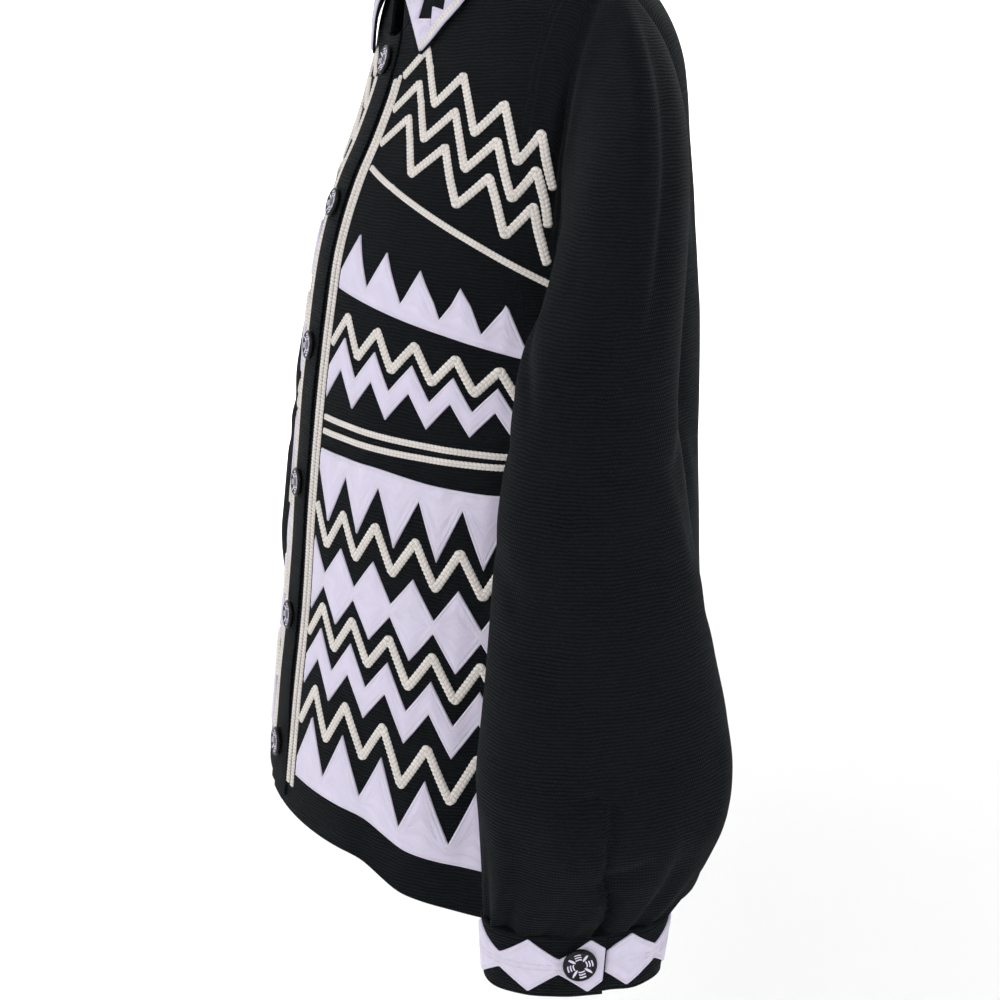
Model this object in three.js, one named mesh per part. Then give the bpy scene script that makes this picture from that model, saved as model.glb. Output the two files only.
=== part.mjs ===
// Knitted cardigan, hollow and filled out as worn: two fronts, back, bishop sleeves
// pleated into cuffs, pointed collar on a stand, button bands, cloth applique and braid.
// Millimetres. +Z up, the front faces -Y, the wearer's left is +X.
// The origin is the middle of the shoulder line, level with the sides of the neck.
import * as THREE from 'three';

// Walls and seams
const KNIT = 2.0;            // body and sleeve knit
const CUFF_WALL = 2.6;       // doubled cuff
const COLLAR_WALL = 2.2;
const PATCH = 1.0;           // turned white applique cloth
const BRAID = 1.8;           // couched braid
const GAP = 0.3;             // between neighbours at a seam
const LIFT = 0.4;            // applique over its panel

// Body, measured at the outside of the knit
const HEM_Z = -706;
const UNDERARM_Z = -262;
const NECK_X = 74;           // half the neck width
const NECK_FRONT_Z = -84;
const NECK_BACK_Z = -16;
const SHOULDER_X = 192;      // shoulder point
const SHOULDER_FALL = 0.40;  // drop per millimetre outward
const SHOULDER_ROUND = 78;   // depth over which the shoulder rolls over
const BAND_HALF = 15;        // half the button band

// half = half width, front / back = depth from the shoulder line, nf / nb = squareness
const BODY = [
  { z: -706, half: 221, front: 193, back: 142, nf: 2.0, nb: 2.3 },
  { z: -640, half: 216, front: 186, back: 140, nf: 2.0, nb: 2.3 },
  { z: -578, half: 211, front: 179, back: 138, nf: 2.0, nb: 2.3 },
  { z: -506, half: 207, front: 170, back: 136, nf: 2.0, nb: 2.3 },
  { z: -424, half: 204, front: 163, back: 134, nf: 1.98, nb: 2.3 },
  { z: -340, half: 204, front: 154, back: 131, nf: 1.92, nb: 2.35 },
  { z: -275, half: 204, front: 145, back: 126, nf: 1.85, nb: 2.45 },
  { z: -245, half: 202, front: 140, back: 122, nf: 1.8, nb: 2.5 },
  { z: -215, half: 198, front: 132, back: 118, nf: 1.75, nb: 2.6 },
  { z: -187, half: 196, front: 122, back: 114, nf: 1.7, nb: 2.7 },
  { z: -155, half: 196, front: 107, back: 109, nf: 1.7, nb: 2.7 },
  { z: -120, half: 196, front: 93, back: 103, nf: 1.72, nb: 2.8 },
  { z: -84, half: 196, front: 83, back: 97, nf: 1.75, nb: 2.8 },
  { z: 0, half: 196, front: 74, back: 84, nf: 1.8, nb: 2.8 },
];

// Armhole edge: half width of the body where the sleeve is set in
const ARMHOLE = [
  { z: -262, x: 203.6 },
  { z: -256, x: 201 },
  { z: -244, x: 196 },
  { z: -226, x: 190 },
  { z: -195, x: 186 },
  { z: -150, x: 184.5 },
  { z: -100, x: 186 },
  { z: -40, x: 192 },
];

// Hem lift across a front and the back: at = 0 centre, 1 side seam
const HEM_LEFT = [{ at: 0, dz: 35 }, { at: 0.3, dz: 35 }, { at: 0.5, dz: 20 }, { at: 1, dz: 4 }];
const HEM_RIGHT = [{ at: 0, dz: 43 }, { at: 0.3, dz: 37 }, { at: 0.5, dz: 21 }, { at: 1, dz: 4 }];
const HEM_BACK = [{ at: 0, dz: 0 }, { at: 1, dz: 0 }];

// Sleeve below the cap: cx, cy = centre, rx, ry = half thickness and half width,
// turn = degrees that the broad side is turned toward the front
const SLEEVE = [
  { z: -306, cx: 258, cy: -34, rx: 49, ry: 52, n: 2.0, turn: 0 },
  { z: -345, cx: 261, cy: -36, rx: 50, ry: 57, n: 2.1, turn: 0 },
  { z: -385, cx: 264, cy: -37, rx: 52, ry: 63, n: 2.1, turn: 0 },
  { z: -430, cx: 268, cy: -36, rx: 54, ry: 69, n: 2.1, turn: 0 },
  { z: -475, cx: 271, cy: -34, rx: 55, ry: 76, n: 2.1, turn: 0 },
  { z: -520, cx: 273, cy: -32, rx: 56, ry: 83, n: 2.1, turn: 2 },
  { z: -552, cx: 275, cy: -32, rx: 56, ry: 86, n: 2.1, turn: 4 },
  { z: -584, cx: 277, cy: -33, rx: 54, ry: 84, n: 2.1, turn: 6 },
  { z: -609, cx: 277, cy: -38, rx: 48, ry: 78, n: 2.1, turn: 9 },
  { z: -632, cx: 276, cy: -45, rx: 41, ry: 70, n: 2.1, turn: 12 },
  { z: -648, cx: 275, cy: -51, rx: 34, ry: 63, n: 2.1, turn: 15 },
];
const CUFF_TOP = -648.4;
const CUFF_HEIGHT = 43;
const CUFF = { cx: 275, cy: -52, rx: 34, ry: 63, n: 2.1, turn: 15, taper: 0.94 };

// Pleats let into the cuff: at = degrees round the sleeve (0 outside, 90 front),
// deep at the cuff, up = height above it, wide = half width in degrees
const PLEATS = [
  { at: 2, deep: 6.5, up: 118, wide: 9 },
  { at: 56, deep: 5.5, up: 92, wide: 9 },
  { at: 100, deep: 5, up: 80, wide: 9 },
  { at: 148, deep: 4.5, up: 95, wide: 10 },
  { at: 200, deep: 4.5, up: 70, wide: 10 },
  { at: 248, deep: 5, up: 100, wide: 10 },
  { at: 292, deep: 4.5, up: 76, wide: 9 },
  { at: 330, deep: 4.5, up: 90, wide: 9 },
];

const V = (x, y, z) => new THREE.Vector3(x, y, z);
const mix = (a, b, t) => a + (b - a) * t;
const clamp = (v, a, b) => Math.min(b, Math.max(a, v));
const smooth = (t) => { const c = clamp(t, 0, 1); return c * c * (3 - 2 * c); };

// Monotone lookup with smooth tangents in a table of named columns
function look(table, key, at, col) {
  const rows = table;
  const sign = rows[rows.length - 1][key] > rows[0][key] ? 1 : -1;
  const k = rows.map((r) => r[key] * sign);
  const q = clamp(at * sign, k[0], k[k.length - 1]);
  let i = 0;
  while (i < k.length - 2 && q > k[i + 1]) i += 1;
  const slope = (a, b) => (rows[b][col] - rows[a][col]) / (k[b] - k[a]);
  const tan = (j) => {
    if (j === 0) return slope(0, 1);
    if (j === k.length - 1) return slope(j - 1, j);
    const s0 = slope(j - 1, j);
    const s1 = slope(j, j + 1);
    return s0 * s1 <= 0 ? 0 : (2 * s0 * s1) / (s0 + s1);
  };
  const h = k[i + 1] - k[i];
  const t = (q - k[i]) / h;
  const p0 = rows[i][col];
  const p1 = rows[i + 1][col];
  const t2 = t * t;
  const t3 = t2 * t;
  return (2 * t3 - 3 * t2 + 1) * p0 + (t3 - 2 * t2 + t) * h * tan(i)
    + (-2 * t3 + 3 * t2) * p1 + (t3 - t2) * h * tan(i + 1);
}

const shoulderZ = (x) => -Math.max(0, Math.abs(x) - NECK_X) * SHOULDER_FALL;

// Outside of the body: x across, z up, side -1 front or +1 back
function depthAt(x, z, side) {
  const half = look(BODY, 'z', z, 'half');
  const b = look(BODY, 'z', z, side < 0 ? 'front' : 'back');
  const n = look(BODY, 'z', z, side < 0 ? 'nf' : 'nb');
  const u = clamp(Math.abs(x) / half, 0, 1);
  const g = (1 - u ** n) ** (1 / n);
  const h = clamp((shoulderZ(x) - z) / SHOULDER_ROUND, 0, 1);
  const roll = Math.sqrt(Math.max(0, 1 - (1 - h) ** 2));
  return side * b * g * roll;
}

// Share of the half width at a share of the girth
const across = (s) => Math.sin((s * Math.PI) / 2);
const FRONT_X = BAND_HALF + GAP;   // centre edge of a front
const neckShare = (x0) => (2 / Math.PI) * Math.asin((NECK_X - x0) / (SHOULDER_X - x0));

function neckZ(x, side) {
  const drop = side < 0 ? NECK_FRONT_Z : NECK_BACK_Z;
  const q = clamp(Math.abs(x) / NECK_X, 0, 1);
  return (drop + 0.2) * Math.cos((q * Math.PI) / 2) ** 0.85 - 0.2;
}
const topZ = (x, side) => (x >= NECK_X - 1e-6 ? shoulderZ(x) - 0.2 : neckZ(x, side));

// Panel point at s (0 centre, 1 side seam or armhole) and t (0 hem, 1 shoulder or neck)
const T_ARM = 0.64;
function panelPoint(s, t, side, hand, hem, x0) {
  const w = across(s);
  let x;
  let z;
  if (t <= T_ARM) {
    const bottom = HEM_Z + look(hem, 'at', s, 'dz');
    z = mix(bottom, UNDERARM_Z, t / T_ARM);
    x = mix(x0, look(BODY, 'z', z, 'half'), w);
  } else {
    const k = (t - T_ARM) / (1 - T_ARM);
    z = mix(UNDERARM_Z, topZ(mix(x0, SHOULDER_X, w), side), k);
    const edge = look(ARMHOLE, 'z', mix(-262, -40, k), 'x');
    x = mix(x0, edge, w);
  }
  let y = depthAt(x, z, side);
  if (t > 0.9999 && x >= NECK_X - 1e-6) y = (side * GAP) / 2;
  return V(hand * x, y, z);
}

function normals(grid, closed) {
  const rows = grid.length;
  const cols = grid[0].length;
  const out = [];
  for (let r = 0; r < rows; r += 1) {
    out.push([]);
    for (let c = 0; c < cols; c += 1) {
      const cl = closed ? (c + cols - 1) % cols : Math.max(0, c - 1);
      const cr = closed ? (c + 1) % cols : Math.min(cols - 1, c + 1);
      const a = grid[r][cr].clone().sub(grid[r][cl]);
      const b = grid[Math.min(rows - 1, r + 1)][c].clone().sub(grid[Math.max(0, r - 1)][c]);
      out[r].push(a.cross(b).normalize());
    }
  }
  return out;
}

// Cloth wall between a grid of outer points and the same grid moved in
function wallOf(grid, { wall, closed = false, flip = false, out = 0, seam = null }) {
  const n = normals(grid, closed);
  if (seam) {
    n.forEach((row, r) => row.forEach((v, c) => {
      const axis = seam(r, c);
      if (axis) { v[axis] = 0; v.normalize(); }
    }));
  }
  const k = flip ? -1 : 1;
  const top = grid.map((row, r) => row.map((p, c) => p.clone().addScaledVector(n[r][c], k * out)));
  const low = grid.map((row, r) => row.map((p, c) => (
    p.clone().addScaledVector(n[r][c], k * (out - wall)))));
  return solidOf(top, low, closed, flip);
}

function solidOf(top, low, closed, flip) {
  const rows = top.length;
  const cols = top[0].length;
  const pos = [];
  [top, low].forEach((g) => g.forEach((row) => row.forEach((p) => pos.push(p.x, p.y, p.z))));
  const id = (side, r, c) => side * rows * cols + r * cols + (closed ? c % cols : c);
  const idx = [];
  const tri = (a, b, c) => (flip ? idx.push(a, c, b) : idx.push(a, b, c));
  const quad = (a, b, c, d) => { tri(a, b, c); tri(a, c, d); };
  const span = closed ? cols : cols - 1;
  for (let r = 0; r < rows - 1; r += 1) {
    for (let c = 0; c < span; c += 1) {
      quad(id(0, r, c), id(0, r, c + 1), id(0, r + 1, c + 1), id(0, r + 1, c));
      quad(id(1, r, c), id(1, r + 1, c), id(1, r + 1, c + 1), id(1, r, c + 1));
    }
  }
  for (let c = 0; c < span; c += 1) {
    quad(id(1, 0, c), id(1, 0, c + 1), id(0, 0, c + 1), id(0, 0, c));
    const e = rows - 1;
    quad(id(0, e, c), id(0, e, c + 1), id(1, e, c + 1), id(1, e, c));
  }
  if (!closed) {
    for (let r = 0; r < rows - 1; r += 1) {
      quad(id(0, r, 0), id(0, r + 1, 0), id(1, r + 1, 0), id(1, r, 0));
      const e = cols - 1;
      quad(id(0, r, e), id(1, r, e), id(1, r + 1, e), id(0, r + 1, e));
    }
  }
  const g = new THREE.BufferGeometry();
  g.setAttribute('position', new THREE.Float32BufferAttribute(pos, 3));
  g.setIndex(idx);
  return g;
}

const LOOKS = {
  knit: { color: 0x0b0f12, roughness: 0.95 },
  patch: { color: 0xd9d4e2, roughness: 0.85 },
  braid: { color: 0xdedacc, roughness: 0.9 },
  button: { color: 0x0a0a0c, roughness: 0.35 },
};
const group = new THREE.Group();
group.name = 'cardigan';
function add(name, geometry, look0) {
  const mat = new THREE.MeshStandardMaterial({ ...LOOKS[look0], metalness: 0 });
  const mesh = new THREE.Mesh(geometry, mat);
  mesh.name = name;
  group.add(mesh);
  return mesh;
}

// Body panels
const SIDE_GAP = 0.0004;
const ROWS_LOW = 11;
const ROWS_UP = 9;
const T_ROWS = [];
for (let i = 0; i < ROWS_LOW; i += 1) T_ROWS.push((T_ARM * i) / ROWS_LOW);
for (let i = 0; i <= ROWS_UP; i += 1) {
  T_ROWS.push(T_ARM + (1 - T_ARM) * (i / ROWS_UP) ** 1.5);
}

function columns(x0, inner, outer) {
  const neck = neckShare(x0);
  const list = [];
  for (let i = 0; i < inner; i += 1) list.push((neck * i) / inner);
  for (let i = 0; i <= outer; i += 1) {
    list.push(mix(neck, 1 - SIDE_GAP, i / outer));
  }
  return list;
}
const FRONT_COLS = columns(FRONT_X, 4, 11);
const BACK_HALF = columns(0, 3, 8);
const BACK_COLS = [...BACK_HALF.slice(1).map((v) => -v).reverse(), ...BACK_HALF];

const frontPoint = (s, t, hand) => (
  panelPoint(s, t, -1, hand, hand > 0 ? HEM_LEFT : HEM_RIGHT, FRONT_X));
const backPoint = (s, t) => panelPoint(Math.abs(s), t, 1, s < 0 ? -1 : 1, HEM_BACK, 0);

const frontGrid = (hand) => T_ROWS.map((t) => FRONT_COLS.map((s) => frontPoint(s, t, hand)));
// Walls stand square to the seam line at the sides and shoulders
const lastRow = T_ROWS.length - 1;
const frontSeam = (r, c) => (
  (c === FRONT_COLS.length - 1 && r <= ROWS_LOW) || (r === lastRow && c >= 4) ? 'y' : null);
const backSeam = (r, c) => {
  const k = Math.abs(c - (BACK_COLS.length - 1) / 2);
  return (k === (BACK_COLS.length - 1) / 2 && r <= ROWS_LOW) || (r === lastRow && k >= 3)
    ? 'y' : null;
};
add('front_left', wallOf(frontGrid(1), { wall: KNIT, seam: frontSeam }), 'knit');
add('front_right', wallOf(frontGrid(-1), { wall: KNIT, flip: true, seam: frontSeam }), 'knit');
add('back', wallOf(T_ROWS.map((t) => BACK_COLS.map((s) => backPoint(s, t))),
  { wall: KNIT, flip: true, seam: backSeam }), 'knit');

// Sleeve: a cap from the armhole edge to the first level ring, then rings down to the cuff
function armholeRing() {
  const rows = [];
  for (let i = 0; i <= ROWS_UP; i += 1) rows.push(T_ROWS[ROWS_LOW + i]);
  const half = (pt) => {
    const list = [];
    for (let i = ROWS_UP; i > 0; i -= 1) {
      const a = pt(rows[i]);
      const b = pt(rows[i - 1]);
      list.push(a, a.clone().lerp(b, 0.5));
    }
    list.push(pt(rows[0]));
    return list;
  };
  const f = half((t) => frontPoint(1, t, 1));
  const b = half((t) => backPoint(1, t));
  const ring = [...f, ...b.slice(1, -1).reverse()];
  ring[0] = f[0].clone().lerp(b[0], 0.5);
  ring[f.length - 1] = f[f.length - 1].clone().lerp(b[b.length - 1], 0.5);
  return ring;
}

function levelRing(row, angle) {
  const c = Math.cos(angle);
  const s = Math.sin(angle);
  const u = row.rx * Math.sign(c) * Math.abs(c) ** (2 / row.n);
  const v = -row.ry * Math.sign(s) * Math.abs(s) ** (2 / row.n);
  const k = (-row.turn * Math.PI) / 180;
  return V(row.cx + u * Math.cos(k) - v * Math.sin(k), row.cy + u * Math.sin(k) + v * Math.cos(k), row.z);
}

function pleatIn(angleDeg, above) {
  let d = 0;
  PLEATS.forEach((p) => {
    let a = Math.abs(((angleDeg - p.at + 540) % 360) - 180);
    a /= p.wide;
    const fade = above < 0 ? 1 : Math.max(0, 1 - above / p.up) ** 1.3;
    d += p.deep * fade * Math.exp(-a * a);
  });
  return d;
}

const CAP_ROWS = 7;
function sleeveGrid() {
  const start = armholeRing();
  const n = start.length;
  let total = 0;
  const arc = start.map((p, i) => {
    const at = total;
    total += p.distanceTo(start[(i + 1) % n]);
    return at;
  });
  const first = SLEEVE[0];
  const ang = (i, even) => {
    const a = (arc[i] / total) * 2 * Math.PI;
    const b = (i / n) * 2 * Math.PI;
    return mix(a, b, even);
  };
  const grid = [];
  for (let r = 0; r < CAP_ROWS; r += 1) {
    const t = (r / CAP_ROWS) ** 1.15;
    grid.push(start.map((p, i) => {
      const a = ang(i, 0);
      const w = (1 - Math.cos(a)) / 2;
      const p0 = p.clone().add(V(mix(0.55, 1.6, w ** 4), 0, mix(-0.1, 0.5, w ** 4)));
      const p1 = levelRing(first, a);
      const len = p0.distanceTo(p1);
      const d0 = V(mix(0.94, 0.5, w), 0, mix(-0.34, -0.87, w)).normalize()
        .multiplyScalar(len * mix(0.95, 0.6, w));
      const d1 = V(mix(0.04, 0.03, w), 0, -1).multiplyScalar(len * mix(0.9, 0.5, w));
      const t2 = t * t;
      const t3 = t2 * t;
      return p0.clone().multiplyScalar(2 * t3 - 3 * t2 + 1)
        .addScaledVector(d0, t3 - 2 * t2 + t)
        .addScaledVector(p1, -2 * t3 + 3 * t2)
        .addScaledVector(d1, t3 - t2);
    }));
  }
  const levels = [-306, -344, -384, -426, -468, -506, -538, -564, -586, -605, -621, -635, -648];
  levels.forEach((z) => {
    const row = { z };
    ['cx', 'cy', 'rx', 'ry', 'n', 'turn'].forEach((k) => { row[k] = look(SLEEVE, 'z', z, k); });
    const even = smooth((-306 - z) / 200);
    grid.push(start.map((p, i) => {
      const a = ang(i, even);
      const q = levelRing(row, a);
      const d = pleatIn((a * 180) / Math.PI, z + 648);
      const inward = V(row.cx - q.x, row.cy - q.y, 0).normalize();
      return q.addScaledVector(inward, d);
    }));
  });
  return grid;
}

const mirror = (grid) => grid.map((row) => row.map((p) => V(-p.x, p.y, p.z)));
const leftSleeve = sleeveGrid();
const capSeam = (r) => (r === 0 ? 'x' : (r === leftSleeve.length - 1 && 'z') || null);
add('sleeve_left', wallOf(leftSleeve, { wall: KNIT, closed: true, seam: capSeam }), 'knit');
add('sleeve_right', wallOf(mirror(leftSleeve),
  { wall: KNIT, closed: true, flip: true, seam: capSeam }), 'knit');

// Cuff: a strip wrapped round with its end lapped over its start, in equal steps of girth
const CUFF_STEPS = 32;       // to one turn
const CUFF_LAP = 3;          // steps under the outer end
const LAP_START = -1.6;      // steps from the outside of the arm to the outer end
const cuffArc = [0];
for (let i = 1; i <= 720; i += 1) {
  const row = { ...CUFF, z: 0 };
  const d = levelRing(row, (i * Math.PI) / 360).distanceTo(levelRing(row, ((i - 1) * Math.PI) / 360));
  cuffArc.push(cuffArc[i - 1] + d);
}
function cuffAngle(step) {
  const turns = Math.floor(step / CUFF_STEPS);
  const want = (step / CUFF_STEPS - turns) * cuffArc[720];
  let i = 0;
  while (i < 719 && cuffArc[i + 1] < want) i += 1;
  const f = (want - cuffArc[i]) / (cuffArc[i + 1] - cuffArc[i]);
  return ((i + f) * Math.PI) / 360 + turns * 2 * Math.PI;
}
function cuffPoint(step, h, out) {
  const under = smooth((step - (LAP_START + CUFF_STEPS - 2.6)) / 2.2) * (CUFF_WALL + 0.6);
  const t = h / CUFF_HEIGHT;
  const k = mix(1, CUFF.taper, t);
  const row = { ...CUFF, rx: CUFF.rx * k, ry: CUFF.ry * k, z: CUFF_TOP - h };
  row.cy = mix(CUFF.cy, CUFF.cy - 2, t);
  const a = cuffAngle(step);
  const q = levelRing(row, a);
  const tan = levelRing(row, a + 0.01).sub(levelRing(row, a - 0.01));
  const nrm = V(tan.y, -tan.x, 0).normalize();
  if (nrm.dot(V(q.x - row.cx, q.y - row.cy, 0)) < 0) nrm.negate();
  return q.addScaledVector(nrm, out - under);
}
function cuffGrid() {
  return [0, 0.5, 1].map((t) => {
    const list = [];
    for (let i = 0; i <= CUFF_STEPS + CUFF_LAP; i += 1) {
      list.push(cuffPoint(LAP_START + i, t * CUFF_HEIGHT, 0));
    }
    return list;
  });
}
const level = () => 'z';
add('cuff_left', wallOf(cuffGrid(), { wall: CUFF_WALL, seam: level }), 'knit');
add('cuff_right', wallOf(mirror(cuffGrid()), { wall: CUFF_WALL, flip: true, seam: level }), 'knit');

// White lozenges joined point to point round the cuff
const LOZENGE_STEPS = 4;
const LOZENGE_TALL = 33;
const LOZENGE_NECK = 9;
function cuffChain(hand) {
  const rows = [[], [], [], []];
  for (let i = 0; i <= CUFF_STEPS - 1; i += 1) {
    const at = LAP_START + (i === 0 ? 0.25 : i);
    const k = Math.abs((((i + 0.0) % LOZENGE_STEPS) / LOZENGE_STEPS) * 2 - 1);
    const half = mix(LOZENGE_TALL, LOZENGE_NECK, k) / 2;
    const mid = CUFF_HEIGHT / 2;
    [mid - half, mid + half].forEach((h, r) => {
      rows[r].push(cuffPoint(at, h, LIFT + PATCH));
      rows[r + 2].push(cuffPoint(at, h, LIFT));
    });
  }
  const fix = (g) => (hand > 0 ? g : mirror(g));
  return solidOf(fix(rows.slice(0, 2)), fix(rows.slice(2)), false, hand < 0);
}
add('cuff_chain_left', cuffChain(1), 'patch');
add('cuff_chain_right', cuffChain(-1), 'patch');

// Button bands at the centre front, the right one lapped over the left one
const BAND_Z = [];
for (let i = 0; i <= 21; i += 1) BAND_Z.push(mix(-655, -104, i / 21));
const BAND_WALL = 2.2;
const BAND_STEP = KNIT + GAP;
function bandPoint(x, z, out) {
  const e = 1.5;
  const p = V(x, depthAt(x, z, -1), z);
  const zs = depthAt(x, z + e, -1) - depthAt(x, z - e, -1);
  const xs = depthAt(Math.abs(x) + e, z, -1) - depthAt(Math.max(0, Math.abs(x) - e), z, -1);
  const n = V((xs / (2 * e)) * Math.sign(x || 1), -1, zs / (2 * e)).normalize();
  return p.addScaledVector(n, out);
}
function bandGrid(xs, bottom, out, swing = 0) {
  const rows = [];
  const spread = (x, z) => x + (x > 0 ? (x / BAND_HALF) * swing * smooth((-560 - z) / 105) : 0);
  rows.push(xs.map((x) => bandPoint(spread(x, bottom), bottom, out)));
  BAND_Z.forEach((z) => {
    if (z > bottom + 4) rows.push(xs.map((x) => bandPoint(spread(x, z), z, out)));
  });
  rows.push(xs.map((x) => {
    return bandPoint(x, neckZ(x, -1) - 0.4, out);
  }));
  return rows;
}
const BAND_XS = [-15, -7.5, 0, 7.5, 15];
add('band_left', wallOf(bandGrid([-12.5, -7.5, 0, 7.5, 15], HEM_Z + 35, 0), { wall: KNIT }), 'knit');
add('band_right', wallOf(bandGrid(BAND_XS, HEM_Z + 43, BAND_STEP, 9), { wall: BAND_WALL - 0.2 }), 'knit');

// Buttons: shallow dished discs
const BUTTON_R = 11.2;
const BUTTON = [
  { r: 9.6, h: 0 }, { r: BUTTON_R, h: 1.1 }, { r: BUTTON_R, h: 2.6 }, { r: 9.4, h: 3.6 }, { r: 7.8, h: 3.1 },
];
function disc(profile, centre, normal, steps = 14) {
  const z = normal.clone().normalize();
  const x = V(0, 0, 1).cross(z).normalize();
  const y = z.clone().cross(x);
  const pos = [];
  const put = (r, a, h) => {
    const p = centre.clone().addScaledVector(x, r * Math.cos(a)).addScaledVector(y, r * Math.sin(a))
      .addScaledVector(z, h);
    pos.push(p.x, p.y, p.z);
  };
  profile.forEach((q) => {
    for (let i = 0; i < steps; i += 1) put(q.r, (i / steps) * Math.PI * 2, q.h);
  });
  put(0, 0, profile[0].h);
  put(0, 0, profile[profile.length - 1].h);
  const idx = [];
  const m = profile.length;
  for (let k = 0; k < m - 1; k += 1) {
    for (let i = 0; i < steps; i += 1) {
      const j = (i + 1) % steps;
      const a = k * steps + i;
      const b = k * steps + j;
      idx.push(a, b, b + steps, a, b + steps, a + steps);
    }
  }
  for (let i = 0; i < steps; i += 1) {
    const j = (i + 1) % steps;
    idx.push(m * steps, j, i);
    idx.push(m * steps + 1, (m - 1) * steps + i, (m - 1) * steps + j);
  }
  const g = new THREE.BufferGeometry();
  g.setAttribute('position', new THREE.Float32BufferAttribute(pos, 3));
  g.setIndex(idx);
  return g;
}
const BUTTON_Z = [-102, -206, -312, -418, -524, -628];
BUTTON_Z.forEach((z, i) => {
  const a = bandPoint(0, z, BAND_STEP + 0.7);
  const n = bandPoint(0, z, BAND_STEP + 5).sub(a);
  add(`button_front_${i + 1}`, disc(BUTTON, a, n), 'button');
});
const CUFF_BUTTON = { step: 0.2, down: 17 };
{
  const out = LIFT + PATCH + 0.9;
  const a = cuffPoint(CUFF_BUTTON.step, CUFF_BUTTON.down, out);
  const n = cuffPoint(CUFF_BUTTON.step, CUFF_BUTTON.down, out + 5).sub(a);
  add('button_cuff_left', disc(BUTTON, a, n), 'button');
  const b = V(-a.x, a.y, a.z);
  add('button_cuff_right', disc(BUTTON, b, V(-n.x, n.y, n.z)), 'button');
}

// Neck edge, from the left end of the band round the back to the right end
const NECK_ENDS = 14.5;
function neckEdge() {
  const list = [];
  const q0 = NECK_ENDS / NECK_X;
  const at = (q, side, hand) => {
    const x = NECK_X * q;
    const z = neckZ(x, side);
    return V(hand * x, depthAt(x, Math.min(z, -0.3), side), z);
  };
  for (let i = 0; i < 7; i += 1) list.push(at(mix(q0, 1, (i / 7) ** 0.8), -1, 1));
  const first = list.map((p) => p.clone());
  list.push(V(NECK_X, 0, 0));
  for (let i = 1; i < 12; i += 1) {
    const k = 1 - (2 * i) / 12;
    list.push(at(Math.abs(k), 1, Math.sign(k) || 1));
  }
  list.push(V(-NECK_X, 0, 0));
  for (let i = 6; i >= 0; i -= 1) list.push(V(-first[i].x, first[i].y, first[i].z));
  return list;
}
const NECK = neckEdge();
const STAND = 27;            // height at the back
// Stand: leans in toward the neck, lower at the front ends
function standGrid() {
  const n = NECK.length;
  return [0, 0.5, 1].map((v) => NECK.map((p, i) => {
    const u = Math.abs((2 * i) / (n - 1) - 1);
    const high = mix(STAND, 23, smooth(u * 1.1));
    const radial = V(p.x, p.y + 8, 0).normalize();
    const lean = mix(0.26, 0.12, smooth(u));
    const dir = V(-radial.x * lean, -radial.y * lean, 1).normalize();
    return p.clone().add(V(0, 0, 0.9)).addScaledVector(dir, high * v);
  }));
}
const standRows = standGrid();
add('collar_stand', wallOf(standRows, { wall: COLLAR_WALL, flip: false }), 'knit');

// Leaf: folds out of the stand's top edge and falls over the shoulders to two points
// at = place along the neck (0 front end, 1 centre back); x, y = outer edge in plan
const LEAF = [
  { at: 0, x: 58, y: -86, z: -99 },
  { at: 0.1, x: 78, y: -79, z: -84 },
  { at: 0.25, x: 100, y: -66, z: -64 },
  { at: 0.4, x: 113, y: -42, z: -34 },
  { at: 0.55, x: 117, y: -6, z: -13 },
  { at: 0.68, x: 108, y: 36, z: -18 },
  { at: 0.82, x: 74, y: 68, z: -34 },
  { at: 0.93, x: 30, y: 80, z: -42 },
  { at: 1, x: 0, y: 81.5, z: -43 },
];
const LEAF_LIFT = 4.2;
function leafOut(u, hand) {
  const x = look(LEAF, 'at', u, 'x');
  let y = look(LEAF, 'at', u, 'y');
  let z = look(LEAF, 'at', u, 'z');
  if (u < 0.5) {
    z = Math.min(z, shoulderZ(x) - 1);
    y = depthAt(x, z, -1);
    const n = V(0.25, -0.75, 0.6).normalize().multiplyScalar(LEAF_LIFT);
    return V(hand * (x + n.x), y + n.y, z + n.z);
  }
  let lo = -200;
  let hi = shoulderZ(x);
  for (let k = 0; k < 40; k += 1) {
    const mid = (lo + hi) / 2;
    if (Math.abs(depthAt(x, mid, y < 0 ? -1 : 1)) > Math.abs(y)) lo = mid; else hi = mid;
  }
  z = lo;
  const n = V(0.2, y < 0 ? -0.2 : 0.35, 0.9).normalize().multiplyScalar(LEAF_LIFT);
  return V(hand * (x + n.x), y + n.y, z + n.z);
}
function leafGrid() {
  const n = NECK.length;
  const grid = [];
  const steps = [0, 0.12, 0.3, 0.55, 0.8, 1];
  steps.forEach((v) => {
    grid.push(NECK.map((p, i) => {
      const u = 1 - Math.abs((2 * i) / (n - 1) - 1);
      const hand = i < n / 2 ? 1 : -1;
      const top = standRows[2][i];
      const radial = V(top.x, top.y + 8, 0).normalize();
      const f = top.clone().add(V(0, 0, 3.2)).addScaledVector(radial, 1.8);
      const e = leafOut(u, i === (n - 1) / 2 ? 0 : hand);
      if (i === (n - 1) / 2) e.x = 0;
      const m = f.clone().lerp(e, 0.42);
      m.z = Math.max(f.z, e.z) + 7;
      m.addScaledVector(radial, 6);
      const a = (1 - v) * (1 - v);
      const b = 2 * v * (1 - v);
      const c = v * v;
      return f.clone().multiplyScalar(a).addScaledVector(m, b).addScaledVector(e, c);
    }));
  });
  return grid;
}
add('collar_leaf', wallOf(leafGrid(), { wall: COLLAR_WALL, flip: true }), 'knit');

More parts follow.
